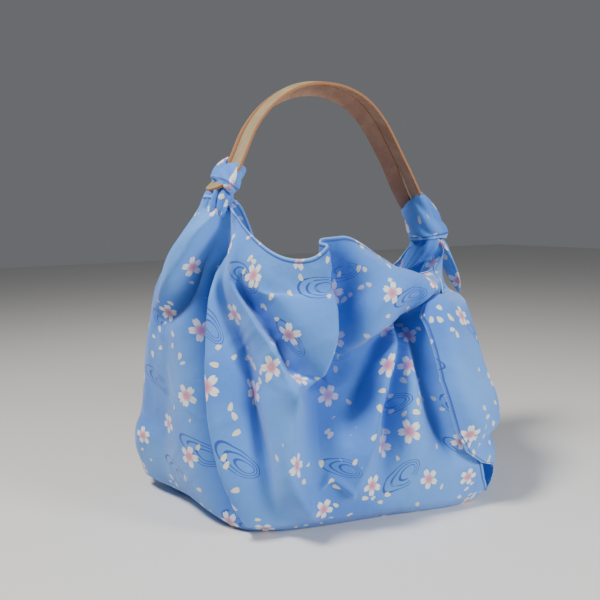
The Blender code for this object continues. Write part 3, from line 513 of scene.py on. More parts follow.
def half_cloth(columns, guides, start, end):
    """One half of the cloth, row by row, from its hem at `start` to its hem at `end`: its points, and how
    much painted shade each is to get, from how deep in a fold's valley it lies and how near it is beside the
    cowl's right edge.

    `start` and `end` are each (table, its own column, the other half's column, turn, layer): a layer above
    0 lies over the other half where the two lap, and one below 0 lies under it.
    """
    up = rows_up()[:, None]
    many = columns * COLUMNS_TO_ONE
    at = np.array([0] + [row[0] for row in guides] + [columns]) / columns
    share = np.linspace(0.0, 1.0, many + 1)
    first, first_other, last, last_other = (
        hem_places(side[0], side[column], up) + side[3] for side in (start, end) for column in (1, 2)
    )
    lines = [first] + [np.interp(up, GUIDE_UP, row[1]) for row in guides] + [last]
    lines = np.concatenate(lines, axis=1)
    around = np.array([np.interp(share, at, line) for line in lines])
    layer = np.zeros(around.shape)
    for lap, inwards, height in (
        (first_other - first, around - first, start[4]),
        (last - last_other, last - around, end[4]),
    ):
        lapped = smooth_step(-LAP_PARTS, LAP_PARTS, lap) * (up > LAPPED_UP) * height
        layer += lapped * pressed(up, *LAPS_PRESSED) * (1 - smooth_step(lap, lap + LAP_BLEND, inwards))
    up = np.broadcast_to(up, around.shape)
    out = ((folded(around, up) - filled_body(around, up)) * directions(around, up)[2]).sum(axis=-1)
    _, size, _, past_right = beside_cowl(around, up)
    # painted shadow of the cowl beside its right edge, carried in the same mark as the valleys' painted shade
    painted_cowl_shadow = size * swell(past_right, *COWL_SHADOW_PAINT_AT) * smooth_step(*COWL_SHADOW_PAINT_STARTS, past_right)
    valley = np.clip(np.maximum(-out / DEEP_VALLEY, painted_cowl_shadow), 0, 1)
    return lifted(around, up, layer + wrinkles(around, up)), valley


def laid_grid(bm, places, marks, cut=None):
    """A flat grid of faces whose points are moved to `places`.

    `marks` names what each point is marked with, and `cut` is where the grid lies flat on the print:
    its left, its foot, its width and its height.
    """
    rows, columns = places.shape[:2]
    layers = {name: bm.verts.layers.float.get(name) or bm.verts.layers.float.new(name) for name in marks}
    verts = bmesh.ops.create_grid(bm, x_segments=columns - 1, y_segments=rows - 1, size=0.5)["verts"]
    flat = {}
    for vert in verts:
        column, row = round((vert.co.x + 0.5) * (columns - 1)), round((vert.co.y + 0.5) * (rows - 1))
        flat[vert] = (column / (columns - 1), row / (rows - 1))
        vert.co = places[row, column]
        for name, layer in layers.items():
            vert[layer] = marks[name][row, column]
    if cut:
        uv = bm.loops.layers.uv.verify()
        for face in {face for vert in verts for face in vert.link_faces}:
            for loop in face.loops:
                share = flat[loop.vert]
                loop[uv].uv = (cut[0] + share[0] * cut[2], cut[1] + share[1] * cut[3])


def new_piece(name, bm, *finishes):
    """An object from a bmesh, shaded smooth, with its materials."""
    mesh = bpy.data.meshes.new(name)
    bm.to_mesh(mesh)
    bm.free()
    mesh.shade_smooth()
    for finish in finishes:
        mesh.materials.append(finish)
    piece = bpy.data.objects.new(name, mesh)
    bpy.context.scene.collection.objects.link(piece)
    return piece


def closed_piece(name, bm, finish):
    """An object from a bmesh whose seams still have to be joined."""
    bmesh.ops.remove_doubles(bm, verts=bm.verts, dist=1e-6)
    bmesh.ops.recalc_face_normals(bm, faces=bm.faces)
    return new_piece(name, bm, finish)


FAR_FROM_HEM = 1.0  # farther than any look of a hem reaches


def hem_distance(points):
    """How far each point of a half is from the nearest hem, along its row or its column."""
    across = np.linalg.norm(np.diff(points, axis=1), axis=-1)
    along = np.linalg.norm(np.diff(points, axis=0), axis=-1)
    from_start = np.concatenate([np.zeros((len(points), 1)), np.cumsum(across, axis=1)], axis=1)
    from_end = from_start[:, -1:] - from_start
    from_top = np.concatenate([np.cumsum(along[::-1], axis=0)[::-1], np.zeros((1, points.shape[1]))], axis=0)
    side = np.minimum(from_start, from_end)
    joined = rows_up()[:, None] <= JOINED_UP + 1e-6
    return np.minimum(np.where(joined, FAR_FROM_HEM, side), from_top)


class Shade:
    """A socket of a material's nodes, so that shader maths reads as an ordinary expression."""

    def __init__(self, paint, socket):
        self.paint, self.socket = paint, socket

    def maths(self, operation, *others):
        return self.paint.node("ShaderNodeMath", {"operation": operation}, (self, *others))

    def __add__(self, other):
        return self.maths("ADD", other)

    def __sub__(self, other):
        return self.maths("SUBTRACT", other)

    def __rsub__(self, other):
        return self.paint.node("ShaderNodeMath", {"operation": "SUBTRACT"}, (other, self))

    def __mul__(self, other):
        return self.maths("MULTIPLY", other)

    def __truediv__(self, other):
        return self.maths("DIVIDE", other)

    __radd__ = __add__
    __rmul__ = __mul__

    def step(self, low, high):
        """0 below low, 1 above high and a smooth curve between; low may be the higher of the two."""
        settings = {"interpolation_type": "SMOOTHSTEP"}
        return self.paint.node("ShaderNodeMapRange", settings, (self, low, high, 0.0, 1.0))


class Paint:
    """A material of one Principled BSDF, and the nodes that feed it."""

    def __init__(self, name, roughness, sheen=0.0):
        self.material = bpy.data.materials.new(name)
        self.material.use_nodes = True
        self.tree = self.material.node_tree
        self.shader = self.tree.nodes["Principled BSDF"]
        self.shader.inputs["Roughness"].default_value = roughness
        self.shader.inputs["Sheen Weight"].default_value = sheen

    def put(self, value, socket):
        if isinstance(value, Shade):
            self.tree.links.new(value.socket, socket)
        elif isinstance(value, tuple) and len(value) == 3 and socket.type == "RGBA":
            socket.default_value = (*value, 1.0)
        else:
            socket.default_value = value

    def node(self, kind, settings=None, values=(), out=0):
        """A node with its settings, its inputs' values or links, and the output that is wanted."""
        made = self.tree.nodes.new(kind)
        for setting, value in (settings or {}).items():
            setattr(made, setting, value)
        for key, value in values.items() if isinstance(values, dict) else enumerate(values):
            self.put(value, made.inputs[key])
        return Shade(self, made.outputs[out])

    def mix(self, mask, one, other):
        """Colour `one` where the mask is 0 and `other` where it is 1."""
        return self.node("ShaderNodeMix", {"data_type": "RGBA"}, {0: mask, 6: one, 7: other}, 2)

    def noise(self, place, scale, detail=2.0, roughness=0.5):
        values = {"Vector": place, "Scale": scale, "Detail": detail, "Roughness": roughness}
        return self.node("ShaderNodeTexNoise", {}, values)

    def dice(self, place, out):
        """Random values of a place: one at `out` 0, and a vector of three at 1."""
        return self.node("ShaderNodeTexWhiteNoise", {"noise_dimensions": "3D"}, (place,), out)

    def mark(self, name):
        """What the piece's points are marked with under this name."""
        return self.node("ShaderNodeAttribute", {"attribute_name": name}, (), 2)

    def split(self, place):
        return [self.node("ShaderNodeSeparateXYZ", {}, (place,), k) for k in range(3)]

    def join(self, x, y, z=0.0):
        return self.node("ShaderNodeCombineXYZ", {}, (x, y, z))

    def bump(self, height, distance, strength=1.0):
        values = {"Strength": strength, "Distance": distance, "Height": height}
        self.put(self.node("ShaderNodeBump", {}, values), self.shader.inputs["Normal"])


# The print: a soft pale and mid blue ground with darker streams that curl into eddies, five-petalled
# blossoms with notched petals, and loose petals drifting in clusters. All sizes are in metres of cloth.
PALE_BLUE = (0.115, 0.34, 0.83)
MID_BLUE = (0.060, 0.225, 0.72)
STREAM_BLUE = (0.015, 0.075, 0.42)
HEM_EDGE = (0.45, 0.65, 0.92)
PAINTED_SHADE_BLUE = (0.015, 0.10, 0.50)  # painted shade: the deep blue that the cloth in deep folds and beside the cowl's right edge is darkened towards
PAINTED_SHADE_MOST = 0.6  # how far the painted shade takes the colour towards it where it is deepest
BLOSSOM_CREAM = (0.93, 0.89, 0.84)
BLOSSOM_PINK = (0.72, 0.20, 0.30)
PETAL_CREAM = (0.86, 0.82, 0.60)
BLOSSOM_SIZE = 0.0117  # from the middle to a petal's tip
BLOSSOM_CELL = 0.056  # each cell of this size has room for one
BLOSSOM_SHARE = 0.86  # of the cells have one
BLOSSOM_PETALS = 5
HEART = (0.60, 0.12)  # of its radius, from where the pink starts to where it is full
STAMENS = ((0.50, 0.42), (0.10, 0.16))  # of its radius, from nothing to full at their two ends
PETAL_SIZE = 0.0084
PETAL_CELL = 0.0155
PETAL_WIDE = (0.19, 0.16)  # half of it at the root, and how much wider at the tip, of its length
PETAL_MIDDLE = 0.52  # how far along a petal is widest
PETAL_NOTCH = (0.85, 1.3)  # how far along the notch begins, and how steep its sides are
PETALS_CROWD = 0.62  # how many of the cells have a petal where they drift most thickly
PETALS_SHIFT = (0.0071, 0.0053)  # from the first layer of petals to the second
PETALS_SECOND = 0.6  # how many petals the second layer has for each one of the first
EDDY_CELL = (0.090, 0.070)
EDDY_SIZE = (0.026, 0.0100)  # half its length and half its height
EDDY_SHARE = 0.84
EDDY_TILT = radians(80)  # between their two steepest slants
EDDY_RINGS = 4
EDDY_CROWD = 0.55  # how far the ovals crowd towards one end: 0 is not at all
EDDY_SWAY = 0.008  # how far the lines sway up and down
SHOWS_THROUGH = 0.55  # how strong the print is on the back of the cloth
INK = (0.95, 0.92, 0.95)  # how far the streams, the petals and the blossoms cover what is under them
PRINT_START = (0.12, 0.40)  # where on the print the cloth's unwrapping starts
YARN = 0.0006  # from one yarn to the next
SEAM_AT = 0.80  # of the hem's width, where its stitched line runs
RELIEF = 0.00022  # how far a height of 1 stands out


def scattered(paint, x, y, cell, room, seed, turn=2 * pi):
    """For motifs set out one to a cell: where this point lies on its cell's motif, and two random values."""
    wide, high = cell
    column, row = (x / wide).maths("FLOOR"), (y / high).maths("FLOOR")
    first, second, third = paint.split(paint.dice(paint.join(column, row, seed), 1))
    chance = paint.dice(paint.join(column, row, seed + 0.5), 0)
    dx = x - (column + 0.5) * wide - (first - 0.5) * room[0]
    dy = y - (row + 0.5) * high - (second - 0.5) * room[1]
    angle = (third - 0.5) * turn
    across, along = angle.maths("COSINE"), angle.maths("SINE")
    return dx * across + dy * along, dy * across - dx * along, chance, third


def petal_mask(along, beside, soft):
    """Where a notched petal is, from its root at `along` 0 to its tip at 1, with an edge this soft."""
    width = along * PETAL_WIDE[1] + PETAL_WIDE[0]
    from_middle = (along - PETAL_MIDDLE) / (1 - PETAL_MIDDLE)
    inside = 1.0 - from_middle.maths("POWER", 2.0) - (beside / width).maths("POWER", 2.0)
    notch = (along - PETAL_NOTCH[0]) - beside.maths("ABSOLUTE") * PETAL_NOTCH[1]
    return inside.step(0.0, soft) * notch.step(soft * 0.4, -soft * 0.4)


def blossoms(paint, x, y, seed):
    """Where the blossoms are, and how pink each point of them is."""
    room = (BLOSSOM_CELL - 2.1 * BLOSSOM_SIZE,) * 2  # so that each stays within its cell
    px, py, chance, _ = scattered(paint, x, y, (BLOSSOM_CELL,) * 2, room, seed)
    radius = (px * px + py * py).maths("SQRT") / BLOSSOM_SIZE
    turn = py.maths("ARCTAN2", px) * (BLOSSOM_PETALS / (2 * pi)) + BLOSSOM_PETALS
    sector = (turn.maths("FRACT") - 0.5) * (2 * pi / BLOSSOM_PETALS)
    along, beside = radius * sector.maths("COSINE"), radius * sector.maths("SINE")
    mask = petal_mask(along, beside, soft=0.10) * chance.maths("LESS_THAN", BLOSSOM_SHARE)
    stamens = ((turn * 3.0).maths("FRACT") - 0.5).maths("ABSOLUTE").step(0.26, 0.12)  # three to a petal
    stamens = stamens * radius.step(*STAMENS[0]) * radius.step(*STAMENS[1])
    return mask, (radius.step(*HEART) * 0.9 + stamens * 0.4).maths("MINIMUM", 1.0)


def loose_petals(paint, x, y, seed, crowd):
    """Where the loose petals are: `crowd` is the share of the cells that have one."""
    room = (PETAL_CELL * 0.42,) * 2
    px, py, chance, size = scattered(paint, x, y, (PETAL_CELL,) * 2, room, seed)
    long = PETAL_SIZE * (0.8 + size * 0.3)
    mask = petal_mask(px / long + 0.5, py / long, soft=0.16)
    return mask * (crowd - chance).step(0.0, 0.02)


def eddies(paint, x, y, seed):
    """Fine lines of water: nested flat ovals that crowd together at one end, broken here and there."""
    room = (EDDY_CELL[0] - 2.2 * EDDY_SIZE[0], EDDY_CELL[1] - 3.0 * EDDY_SIZE[1])
    px, py, chance, size = scattered(paint, x, y, EDDY_CELL, room, seed, EDDY_TILT)
    size = 0.8 + size * 0.4
    wave = paint.noise(paint.join(x, y), 30.0, 1.0) - 0.5
    away = px / (EDDY_SIZE[0] * size) - EDDY_CROWD
    high = (py + wave * EDDY_SWAY) / (EDDY_SIZE[1] * size)
    root = away * away + high * high * (1 - EDDY_CROWD**2)
    oval = (away * EDDY_CROWD + root.maths("SQRT")) / (1 - EDDY_CROWD**2)
    line = ((oval * EDDY_RINGS).maths("FRACT") - 0.5).maths("ABSOLUTE").step(0.20, 0.10)
    line = line * oval.step(1.02, 0.98) * oval.step(0.14, 0.20)
    gap = paint.noise(paint.join(x, y, seed), 60.0, 1.0).step(0.30, 0.42)
    return line * gap * chance.maths("LESS_THAN", EDDY_SHARE)


def printed_cotton(name, strength):
    """The cotton, its print at this strength: full on the face, and weaker where it shows on the back."""
    paint = Paint(name, 0.82, sheen=0.25)
    place = paint.node("ShaderNodeUVMap")
    x, y, _ = paint.split(place)
    clouds = paint.noise(place, 9.0, 1.5, 0.45)
    ground = paint.mix(clouds.step(0.36, 0.66), PALE_BLUE, MID_BLUE)
    streams, petals, flowers = (ink * strength for ink in INK)
    colour = paint.mix(eddies(paint, x, y, 3.0) * streams, ground, STREAM_BLUE)
    crowd = paint.noise(place, 17.0, 1.0).step(0.40, 0.72) * PETALS_CROWD
    loose = loose_petals(paint, x, y, 11.0, crowd)
    second = x + PETALS_SHIFT[0], y + PETALS_SHIFT[1]
    loose = loose.maths("MAXIMUM", loose_petals(paint, *second, 23.0, crowd * PETALS_SECOND))
    colour = paint.mix(loose * petals, colour, PETAL_CREAM)
    mask, pink = blossoms(paint, x, y, 37.0)
    colour = paint.mix(mask * flowers, colour, paint.mix(pink, BLOSSOM_CREAM, BLOSSOM_PINK))
    # painted shade: the cloth in deep valleys and beside the cowl's right edge is darkened towards a deep
    # blue
    colour = paint.mix(paint.mark("valley") * PAINTED_SHADE_MOST, colour, PAINTED_SHADE_BLUE)
    from_hem = paint.mark("hem")
    seam = (from_hem - HEM_WIDE * SEAM_AT).maths("ABSOLUTE").step(0.0013, 0.0006)
    colour = paint.mix(from_hem.step(0.0014, 0.0006) * 0.35, colour, HEM_EDGE)
    colour = paint.mix(seam * 0.85, colour, STREAM_BLUE)
    paint.put(colour, paint.shader.inputs["Base Color"])
    weave = (x * (2 * pi / YARN)).maths("SINE") * (y * (2 * pi / YARN)).maths("SINE")
    slubs = [paint.noise(paint.join(*along), 900.0, 1.0) for along in ((x * 0.25, y), (x, y * 0.25))]
    crumple = paint.noise(place, 55.0, 3.0, 0.55)
    height = weave * 0.12 + (slubs[0] + slubs[1]) * 0.30 + crumple * 6.0 - seam * 1.6
    paint.bump(height, RELIEF, strength=0.9)
    return paint.material


cotton_face = printed_cotton("printed_cotton_face", 1.0)
cotton_back = printed_cotton("printed_cotton_back", SHOWS_THROUGH)
painted_glow_inputs = cotton_back.node_tree.nodes["Principled BSDF"].inputs  # painted glow: a weak emission on the back of the cloth stands in for the light that thin cotton lets through
painted_glow_inputs["Emission Color"].default_value = (0.09, 0.27, 0.75, 1.0)
painted_glow_inputs["Emission Strength"].default_value = 0.10

BOTTOM_RINGS = (0.93, 0.72, 0.48, 0.24)  # of the foot's outline, towards the middle of the flat bottom
FOOT_EDGE = 0.0015  # the foot's open edge lies below this height

left_of_front = (LEFT_HEMS, 2, 1, -1.0, LAP_OUT)
right_of_front = (RIGHT_HEMS, 1, 2, 0.0, -LAP_IN)
left_of_back = (LEFT_HEMS, 1, 2, 0.0, -LAP_IN)
right_of_back = (RIGHT_HEMS, 2, 1, 0.0, LAP_OUT)
halves = (
    half_cloth(FRONT_COLUMNS, FRONT_GUIDES, left_of_front, right_of_front),
    half_cloth(BACK_COLUMNS, BACK_GUIDES, right_of_back, left_of_back),
)


def face_order(face):
    """A number that puts the faces in one order on every run, as the unwrapping depends on it."""
    corners = [vert.index for vert in face.verts]
    return min(corners) * 1e6 + max(corners)


bm = bmesh.new()
for points, valley in halves:
    # the valley mark says how much painted shade each point gets
    laid_grid(bm, points, {"hem": hem_distance(points), "valley": valley})
hem_layer = bm.verts.layers.float["hem"]
bmesh.ops.remove_doubles(bm, verts=bm.verts, dist=1e-5)
foot = [edge for edge in bm.edges if edge.is_boundary and max(v.co.z for v in edge.verts) < FOOT_EDGE]
middle = sum((edge.verts[0].co for edge in foot), Vector()) / len(foot)
reach = 1.0
for ring in BOTTOM_RINGS:
    made = bmesh.ops.extrude_edge_only(bm, edges=foot)["geom"]
    foot = [part for part in made if isinstance(part, bmesh.types.BMEdge) and part.is_boundary]
    for vert in {vert for edge in foot for vert in edge.verts}:
        vert.co = middle + (vert.co - middle) * (ring / reach)
        vert[hem_layer] = FAR_FROM_HEM
    reach = ring
rim = list(dict.fromkeys(vert for edge in foot for vert in edge.verts))
bmesh.ops.pointmerge(bm, verts=rim, merge_co=middle)
bmesh.ops.recalc_face_normals(bm, faces=bm.faces)
bm.verts.index_update()
bm.faces.sort(key=face_order)
cloth = new_piece("cloth_drape", bm, cotton_face, cotton_back)


def unwrap(piece, start, end):
    """Lays the piece's UV map out flat, in metres of cloth, with `start` at PRINT_START and `end` along U."""
    bpy.context.view_layer.objects.active = piece
    piece.select_set(True)
    bpy.ops.object.mode_set(mode="EDIT")
    bpy.ops.mesh.select_all(action="SELECT")
    bpy.ops.uv.unwrap(method="MINIMUM_STRETCH", margin=0.0, iterations=10)
    bpy.ops.object.mode_set(mode="OBJECT")
    piece.select_set(False)
    mesh = piece.data
    flat = np.empty(2 * len(mesh.loops))
    mesh.uv_layers.active.uv.foreach_get("vector", flat)
    flat = flat.reshape(-1, 2)
    mesh.calc_loop_triangles()
    corners = np.empty(3 * len(mesh.loop_triangles), int)
    mesh.loop_triangles.foreach_get("loops", corners)
    one, two, three = flat[corners.reshape(-1, 3)].transpose(1, 0, 2)
    flat_area = np.abs(np.cross(two - one, three - one)).sum() / 2
    area = sum(face.area for face in mesh.polygons)
    at = np.empty(len(mesh.loops), int)
    mesh.loops.foreach_get("vertex_index", at)
    places = np.empty(3 * len(mesh.vertices))
    mesh.vertices.foreach_get("co", places)
    places = places.reshape(-1, 3)
    ends = [flat[np.argmin(np.linalg.norm(places[at] - np.array(point), axis=1))] for point in (start, end)]
    heading = unit(ends[1] - ends[0])
    turned = (flat - ends[0]) @ np.array([heading, [-heading[1], heading[0]]]).T
    turned = turned * (area / flat_area) ** 0.5 + PRINT_START
    mesh.uv_layers.active.uv.foreach_set("vector", turned.ravel())


HEM_FULL = 0.9  # of the hem's width, as far as its extra thickness reaches
LEVEL_PLACES = ((-0.06, -0.11, 0.06), (0.12, -0.12, 0.06))  # low on the front: the print is level there

unwrap(cloth, *LEVEL_PLACES)
hem_group = cloth.vertex_groups.new(name="hem thickness")
from_hem = np.empty(len(cloth.data.vertices))
cloth.data.attributes["hem"].data.foreach_get("value", from_hem)
for index, distance in enumerate(from_hem):
    hem_group.add([index], 1.0 if distance < HEM_WIDE * HEM_FULL else 1 / HEM_THICK, "REPLACE")
thicken = cloth.modifiers.new("thickness", "SOLIDIFY")
thicken.thickness = CLOTH_THICK * HEM_THICK
thicken.offset = 0.0
thicken.vertex_group = hem_group.name
thicken.material_offset = 1
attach(cloth, "root")
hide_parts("cloth")

# ---------------------------------------------------------------------------------------------------------
# The knots: each end of the cloth is gathered, passed through the ring and tied round its two strands. At
# the left the knot is a slanting band with a short ear over it, and at the right a bell of cloth with a
# straight hem along its lower edge, from which one free tail hangs.

TIED = {
    "left neck": (
        # x       y       z       wide    deep    slant
        (-0.1090, -0.0405, 0.2960, 0.0080, 0.0050, 0.000),
        (-0.1075, -0.0415, 0.3050, 0.0160, 0.0110, 0.000),
        (-0.1040, -0.0430, 0.3150, 0.0165, 0.0120, 0.000),
        (-0.1000, -0.0440, 0.3230, 0.0160, 0.0115, 0.000),
        (-0.0960, -0.0445, 0.3300, 0.0110, 0.0070, 0.000),
    ),
    "left band": (
        (-0.0990, -0.0445, 0.3285, 0.0175, 0.0080, -0.005),
        (-0.0975, -0.0443, 0.3302, 0.0221, 0.0110, -0.005),
        (-0.0945, -0.0435, 0.3348, 0.0223, 0.0112, -0.004),
        (-0.0905, -0.0427, 0.3410, 0.0216, 0.0100, -0.001),
        (-0.0875, -0.0421, 0.3455, 0.0210, 0.0085, 0.001),
        (-0.0865, -0.0419, 0.3470, 0.0180, 0.0060, 0.001),
    ),
    "left ear": (
        (-0.1000, -0.0400, 0.3330, 0.0080, 0.0050, 0.000),
        (-0.0990, -0.0370, 0.3410, 0.0100, 0.0050, 0.000),
        (-0.0935, -0.0325, 0.3500, 0.0080, 0.0040, 0.000),
        (-0.0860, -0.0290, 0.3570, 0.0022, 0.0015, 0.000),
    ),
    "right tail": (
        (0.1880, 0.0060, 0.2745, 0.0060, 0.0045, 0.000),
        (0.1975, 0.0030, 0.2625, 0.0085, 0.0045, 0.000),
        (0.2060, 0.0030, 0.2480, 0.0105, 0.0032, 0.000),
        (0.2140, 0.0030, 0.2320, 0.0110, 0.0028, 0.000),
        (0.2220, 0.0030, 0.2150, 0.0080, 0.0022, 0.000),
        (0.2280, 0.0030, 0.2000, 0.0012, 0.0010, 0.000),
    ),
    "right neck": (
        (0.1600, 0.0270, 0.2300, 0.0040, 0.0025, 0.000),
        (0.1660, 0.0210, 0.2420, 0.0120, 0.0050, 0.000),
        (0.1730, 0.0140, 0.2540, 0.0170, 0.0090, 0.000),
        (0.1780, 0.0080, 0.2650, 0.0190, 0.0130, 0.000),
        (0.1790, 0.0060, 0.2760, 0.0150, 0.0110, 0.000),
    ),
    "right bell": (
        (0.1550, 0.0020, 0.3160, 0.0180, 0.0060, -0.007),
        (0.1562, 0.0020, 0.3135, 0.0218, 0.0090, -0.008),
        (0.1630, 0.0030, 0.3035, 0.0235, 0.0138, -0.004),
        (0.1722, 0.0040, 0.2900, 0.0240, 0.0178, -0.001),
        (0.1790, 0.0045, 0.2795, 0.0238, 0.0200, 0.000),
        (0.1808, 0.0045, 0.2720, 0.0238, 0.0210, 0.000),
        (0.1810, 0.0045, 0.2705, 0.0210, 0.0180, 0.000),
    ),
}
TIED_ROUND = 72  # points round each section
TIED_ALONG = 10  # rows for each one of a table
SQUARE = 0.8  # how square the sections are: 1 is an oval
# Each lump's pleats, and where it lies on the print: how many pleats there are round it, how many of them
# a line straight along it crosses, and how deep they are out of its size.
PLEATS = {
    #             round  along  deep    left    foot
    "left neck": (7, 0.8, 0.26, 0.045, 0.060),
    "left band": (4, 3.0, 0.10, 0.262, 0.075),
    "left ear": (5, 1.0, 0.12, 0.330, 0.120),
    "right tail": (5, 0.5, 0.16, 0.410, 0.230),
    "right neck": (9, 0.5, 0.12, 0.120, 0.310),
    "right bell": (5, 2.4, 0.12, 0.545, 0.452),
}
HEMMED = {"left band": 0, "right bell": -1}  # the end of a lump that is the cloth's own hem
PLEAT_NARROW = 3  # how narrow the creases between the pleats are
PLEAT_UNEVEN = 0.25  # how unevenly the pleats lie round a lump
RING_FACING = radians(10)  # how far the upright plane that the ring lies in is turned from the front
RING_BACK = -0.026  # and where that plane crosses the bag's middle, in y
IN_RING = np.array((cos(RING_FACING), sin(RING_FACING), 0.0))
ACROSS_RING = np.array((sin(RING_FACING), -cos(RING_FACING), 0.0))


def tied_cloth(name, rows):
    """A lump of gathered cloth through a table's oval sections, pressed in at its creases."""
    rows = np.array(rows)
    places = np.arange(len(rows))
    fine = np.linspace(0, len(rows) - 1, TIED_ALONG * (len(rows) - 1) + 1)
    fine_rows = through(places, rows, fine)
    middles = fine_rows[:, :3]
    line = unit(np.gradient(middles, axis=0))
    wide = unit(ACROSS_RING - line * (line @ ACROSS_RING)[:, None])
    deep = np.cross(line, wide)
    turn = np.linspace(0, 2 * pi, TIED_ROUND + 1)
    many, twist, press, left, foot = PLEATS[name]
    uneven = turn + PLEAT_UNEVEN * np.sin(2 * turn + len(name))
    share = fine / fine[-1]
    size = 1 - press * np.abs(np.cos(many * uneven / 2 + pi * twist * share[:, None])) ** PLEAT_NARROW
    side, out = (np.copysign(np.abs(part) ** SQUARE, part) * size for part in (np.cos(turn), np.sin(turn)))
    ring = (
        middles[:, None]
        + wide[:, None] * (fine_rows[:, 3, None] * side)[..., None]
        + line[:, None] * (fine_rows[:, 5, None] * side)[..., None]
        + deep[:, None] * (fine_rows[:, 4, None] * out)[..., None]
    )
    ends = [np.broadcast_to(middles[k], ring[0].shape)[None] for k in (0, -1)]
    ring = np.concatenate([ends[0], ring, ends[1]])
    steps = np.linalg.norm(np.diff(middles, axis=0), axis=1)
    long = steps.sum()
    hem = np.full(ring.shape[:2], FAR_FROM_HEM)
    if name in HEMMED:
        along = np.concatenate([[0.0, 0.0], np.cumsum(steps), [long]])
        hem = np.abs(along - along[HEMMED[name]])[:, None] + np.zeros(ring.shape[:2])
    bm = bmesh.new()
    laid_grid(bm, ring, {"hem": hem}, (left, foot, pi * fine_rows[:, 3:5].mean(axis=0).sum(), long))
    piece = closed_piece(name.replace(" ", "_"), bm, cotton_face)
    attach(piece, "root")
    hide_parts("cloth")
    return piece


knots = [tied_cloth(name, rows) for name, rows in TIED.items()]

# ---------------------------------------------------------------------------------------------------------
# The handle: a flat ring cut from one piece of leather with a long slot, bent into an arch. Its face is
# khaki, its flesh side brown, and its cut edges are burnished a darker orange brown.

LEATHER_THICK = 0.003
STRAND_WIDE = 0.018
EDGE_ROUND = 0.0009
EDGE_STEP = 18  # degrees between the points of a round edge
RING_ROUTE = (
    # along    z
    (-0.114, 0.325),
    (-0.105, 0.331),
    (-0.096, 0.341),
    (-0.087, 0.357),
    (-0.072, 0.385),
    (-0.047, 0.412),
    (-0.020, 0.428),
    (0.014, 0.436),
    (0.046, 0.434),
    (0.075, 0.423),
    (0.098, 0.404),
    (0.119, 0.376),
    (0.137, 0.349),
    (0.151, 0.325),
    (0.163, 0.304),
    (0.171, 0.290),
)
STRANDS = (
    # share of the route, half the gap between the strands, and how many degrees the front and the back
    # strand roll down at their outer edges
    (0.00, 0.0020, 0, 0),
    (0.05, 0.0020, 2, 8),
    (0.08, 0.0036, 4, 30),
    (0.12, 0.0040, 2, 36),
    (0.20, 0.0038, 2, 36),
    (0.28, 0.0030, 6, 38),
    (0.37, 0.0012, 10, 38),
    (0.47, 0.0004, 12, 34),
    (0.80, 0.0004, 8, 26),
    (0.87, 0.0020, 8, 24),
    (0.95, 0.0020, 2, 8),
    (1.00, 0.0020, 0, 0),
)
RING_SECTIONS = (150, 22)  # along each strand, and round each end
KHAKI = ((0.30, 0.23, 0.115), (0.37, 0.285, 0.15))  # the face's two shades
FLESH_BROWN = ((0.34, 0.175, 0.10), (0.42, 0.235, 0.14))  # and the flesh side's
BURNISHED = (0.36, 0.15, 0.05)
GRAIN_RELIEF = 0.00004  # how far a height of 1 stands out

ROUTE = np.array(RING_ROUTE)
STEPS = np.concatenate([[0.0], np.cumsum(np.hypot(*np.diff(ROUTE, axis=0).T))])
RING_LENGTH = STEPS[-1]
SHARES, GAPS, *ROLLS = np.array(STRANDS).T
FRONT_ROLLS, BACK_ROLLS = np.radians(ROLLS)


def strap_outline():
    """The strap's section, a flat oblong with round corners, closed: rows of (outwards, lift)."""
    wide, thick = STRAND_WIDE / 2 - EDGE_ROUND, LEATHER_THICK / 2 - EDGE_ROUND
    points = []
    for start, out, lift in ((-90, wide, -thick), (0, wide, thick), (90, -wide, thick), (180, -wide, -thick)):
        for turn in range(start, start + 91, EDGE_STEP):
            angle = radians(turn)
            points.append((out + EDGE_ROUND * cos(angle), lift + EDGE_ROUND * sin(angle)))
    return points + points[:1]


def ring_line():
    """The ring's middle line: (run, beside, and which way is outwards), round both strands and both ends."""
    turn_round = STRANDS[0][1] + STRAND_WIDE / 2
    reach = turn_round + STRAND_WIDE / 2
    many, round_end = RING_SECTIONS
    runs = reach + (RING_LENGTH - 2 * reach) * (np.arange(many) + 0.5) / many
    half = np.interp(runs / RING_LENGTH, SHARES, GAPS) + STRAND_WIDE / 2
    turns = pi * (np.arange(round_end) + 0.5) / round_end
    first, last = reach, RING_LENGTH - reach
    line = [(run, side, 0.0, 1.0) for run, side in zip(runs, half)]
    line += [(last + turn_round * sin(t), turn_round * cos(t), sin(t), cos(t)) for t in turns]
    line += [(run, -side, 0.0, -1.0) for run, side in zip(runs[::-1], half[::-1])]
    line += [(first - turn_round * sin(t), -turn_round * cos(t), -sin(t), -cos(t)) for t in turns]
    return line + line[:1]


def ring_place(run, beside, lift):
    """A point of the ring: `beside` its middle plane, and `lift` off the strap's middle, in its own frame."""
    step = 0.001
    along, height = through(STEPS, ROUTE, run)
    slope = unit(through(STEPS, ROUTE, run + step) - through(STEPS, ROUTE, run - step))
    rise = IN_RING * -slope[1] + np.array((0, 0, slope[0]))
    side, rolls = (1, FRONT_ROLLS) if beside > 0 else (-1, BACK_ROLLS)
    gap = np.interp(run / RING_LENGTH, SHARES, GAPS)
    roll = np.interp(run / RING_LENGTH, SHARES, rolls)
    out = abs(beside) - gap
    return (
        IN_RING * along
        + np.array((0, RING_BACK, height))
        + ACROSS_RING * side * (gap + out * cos(roll) + lift * sin(roll))
        + rise * (lift * cos(roll) - out * sin(roll))
    )


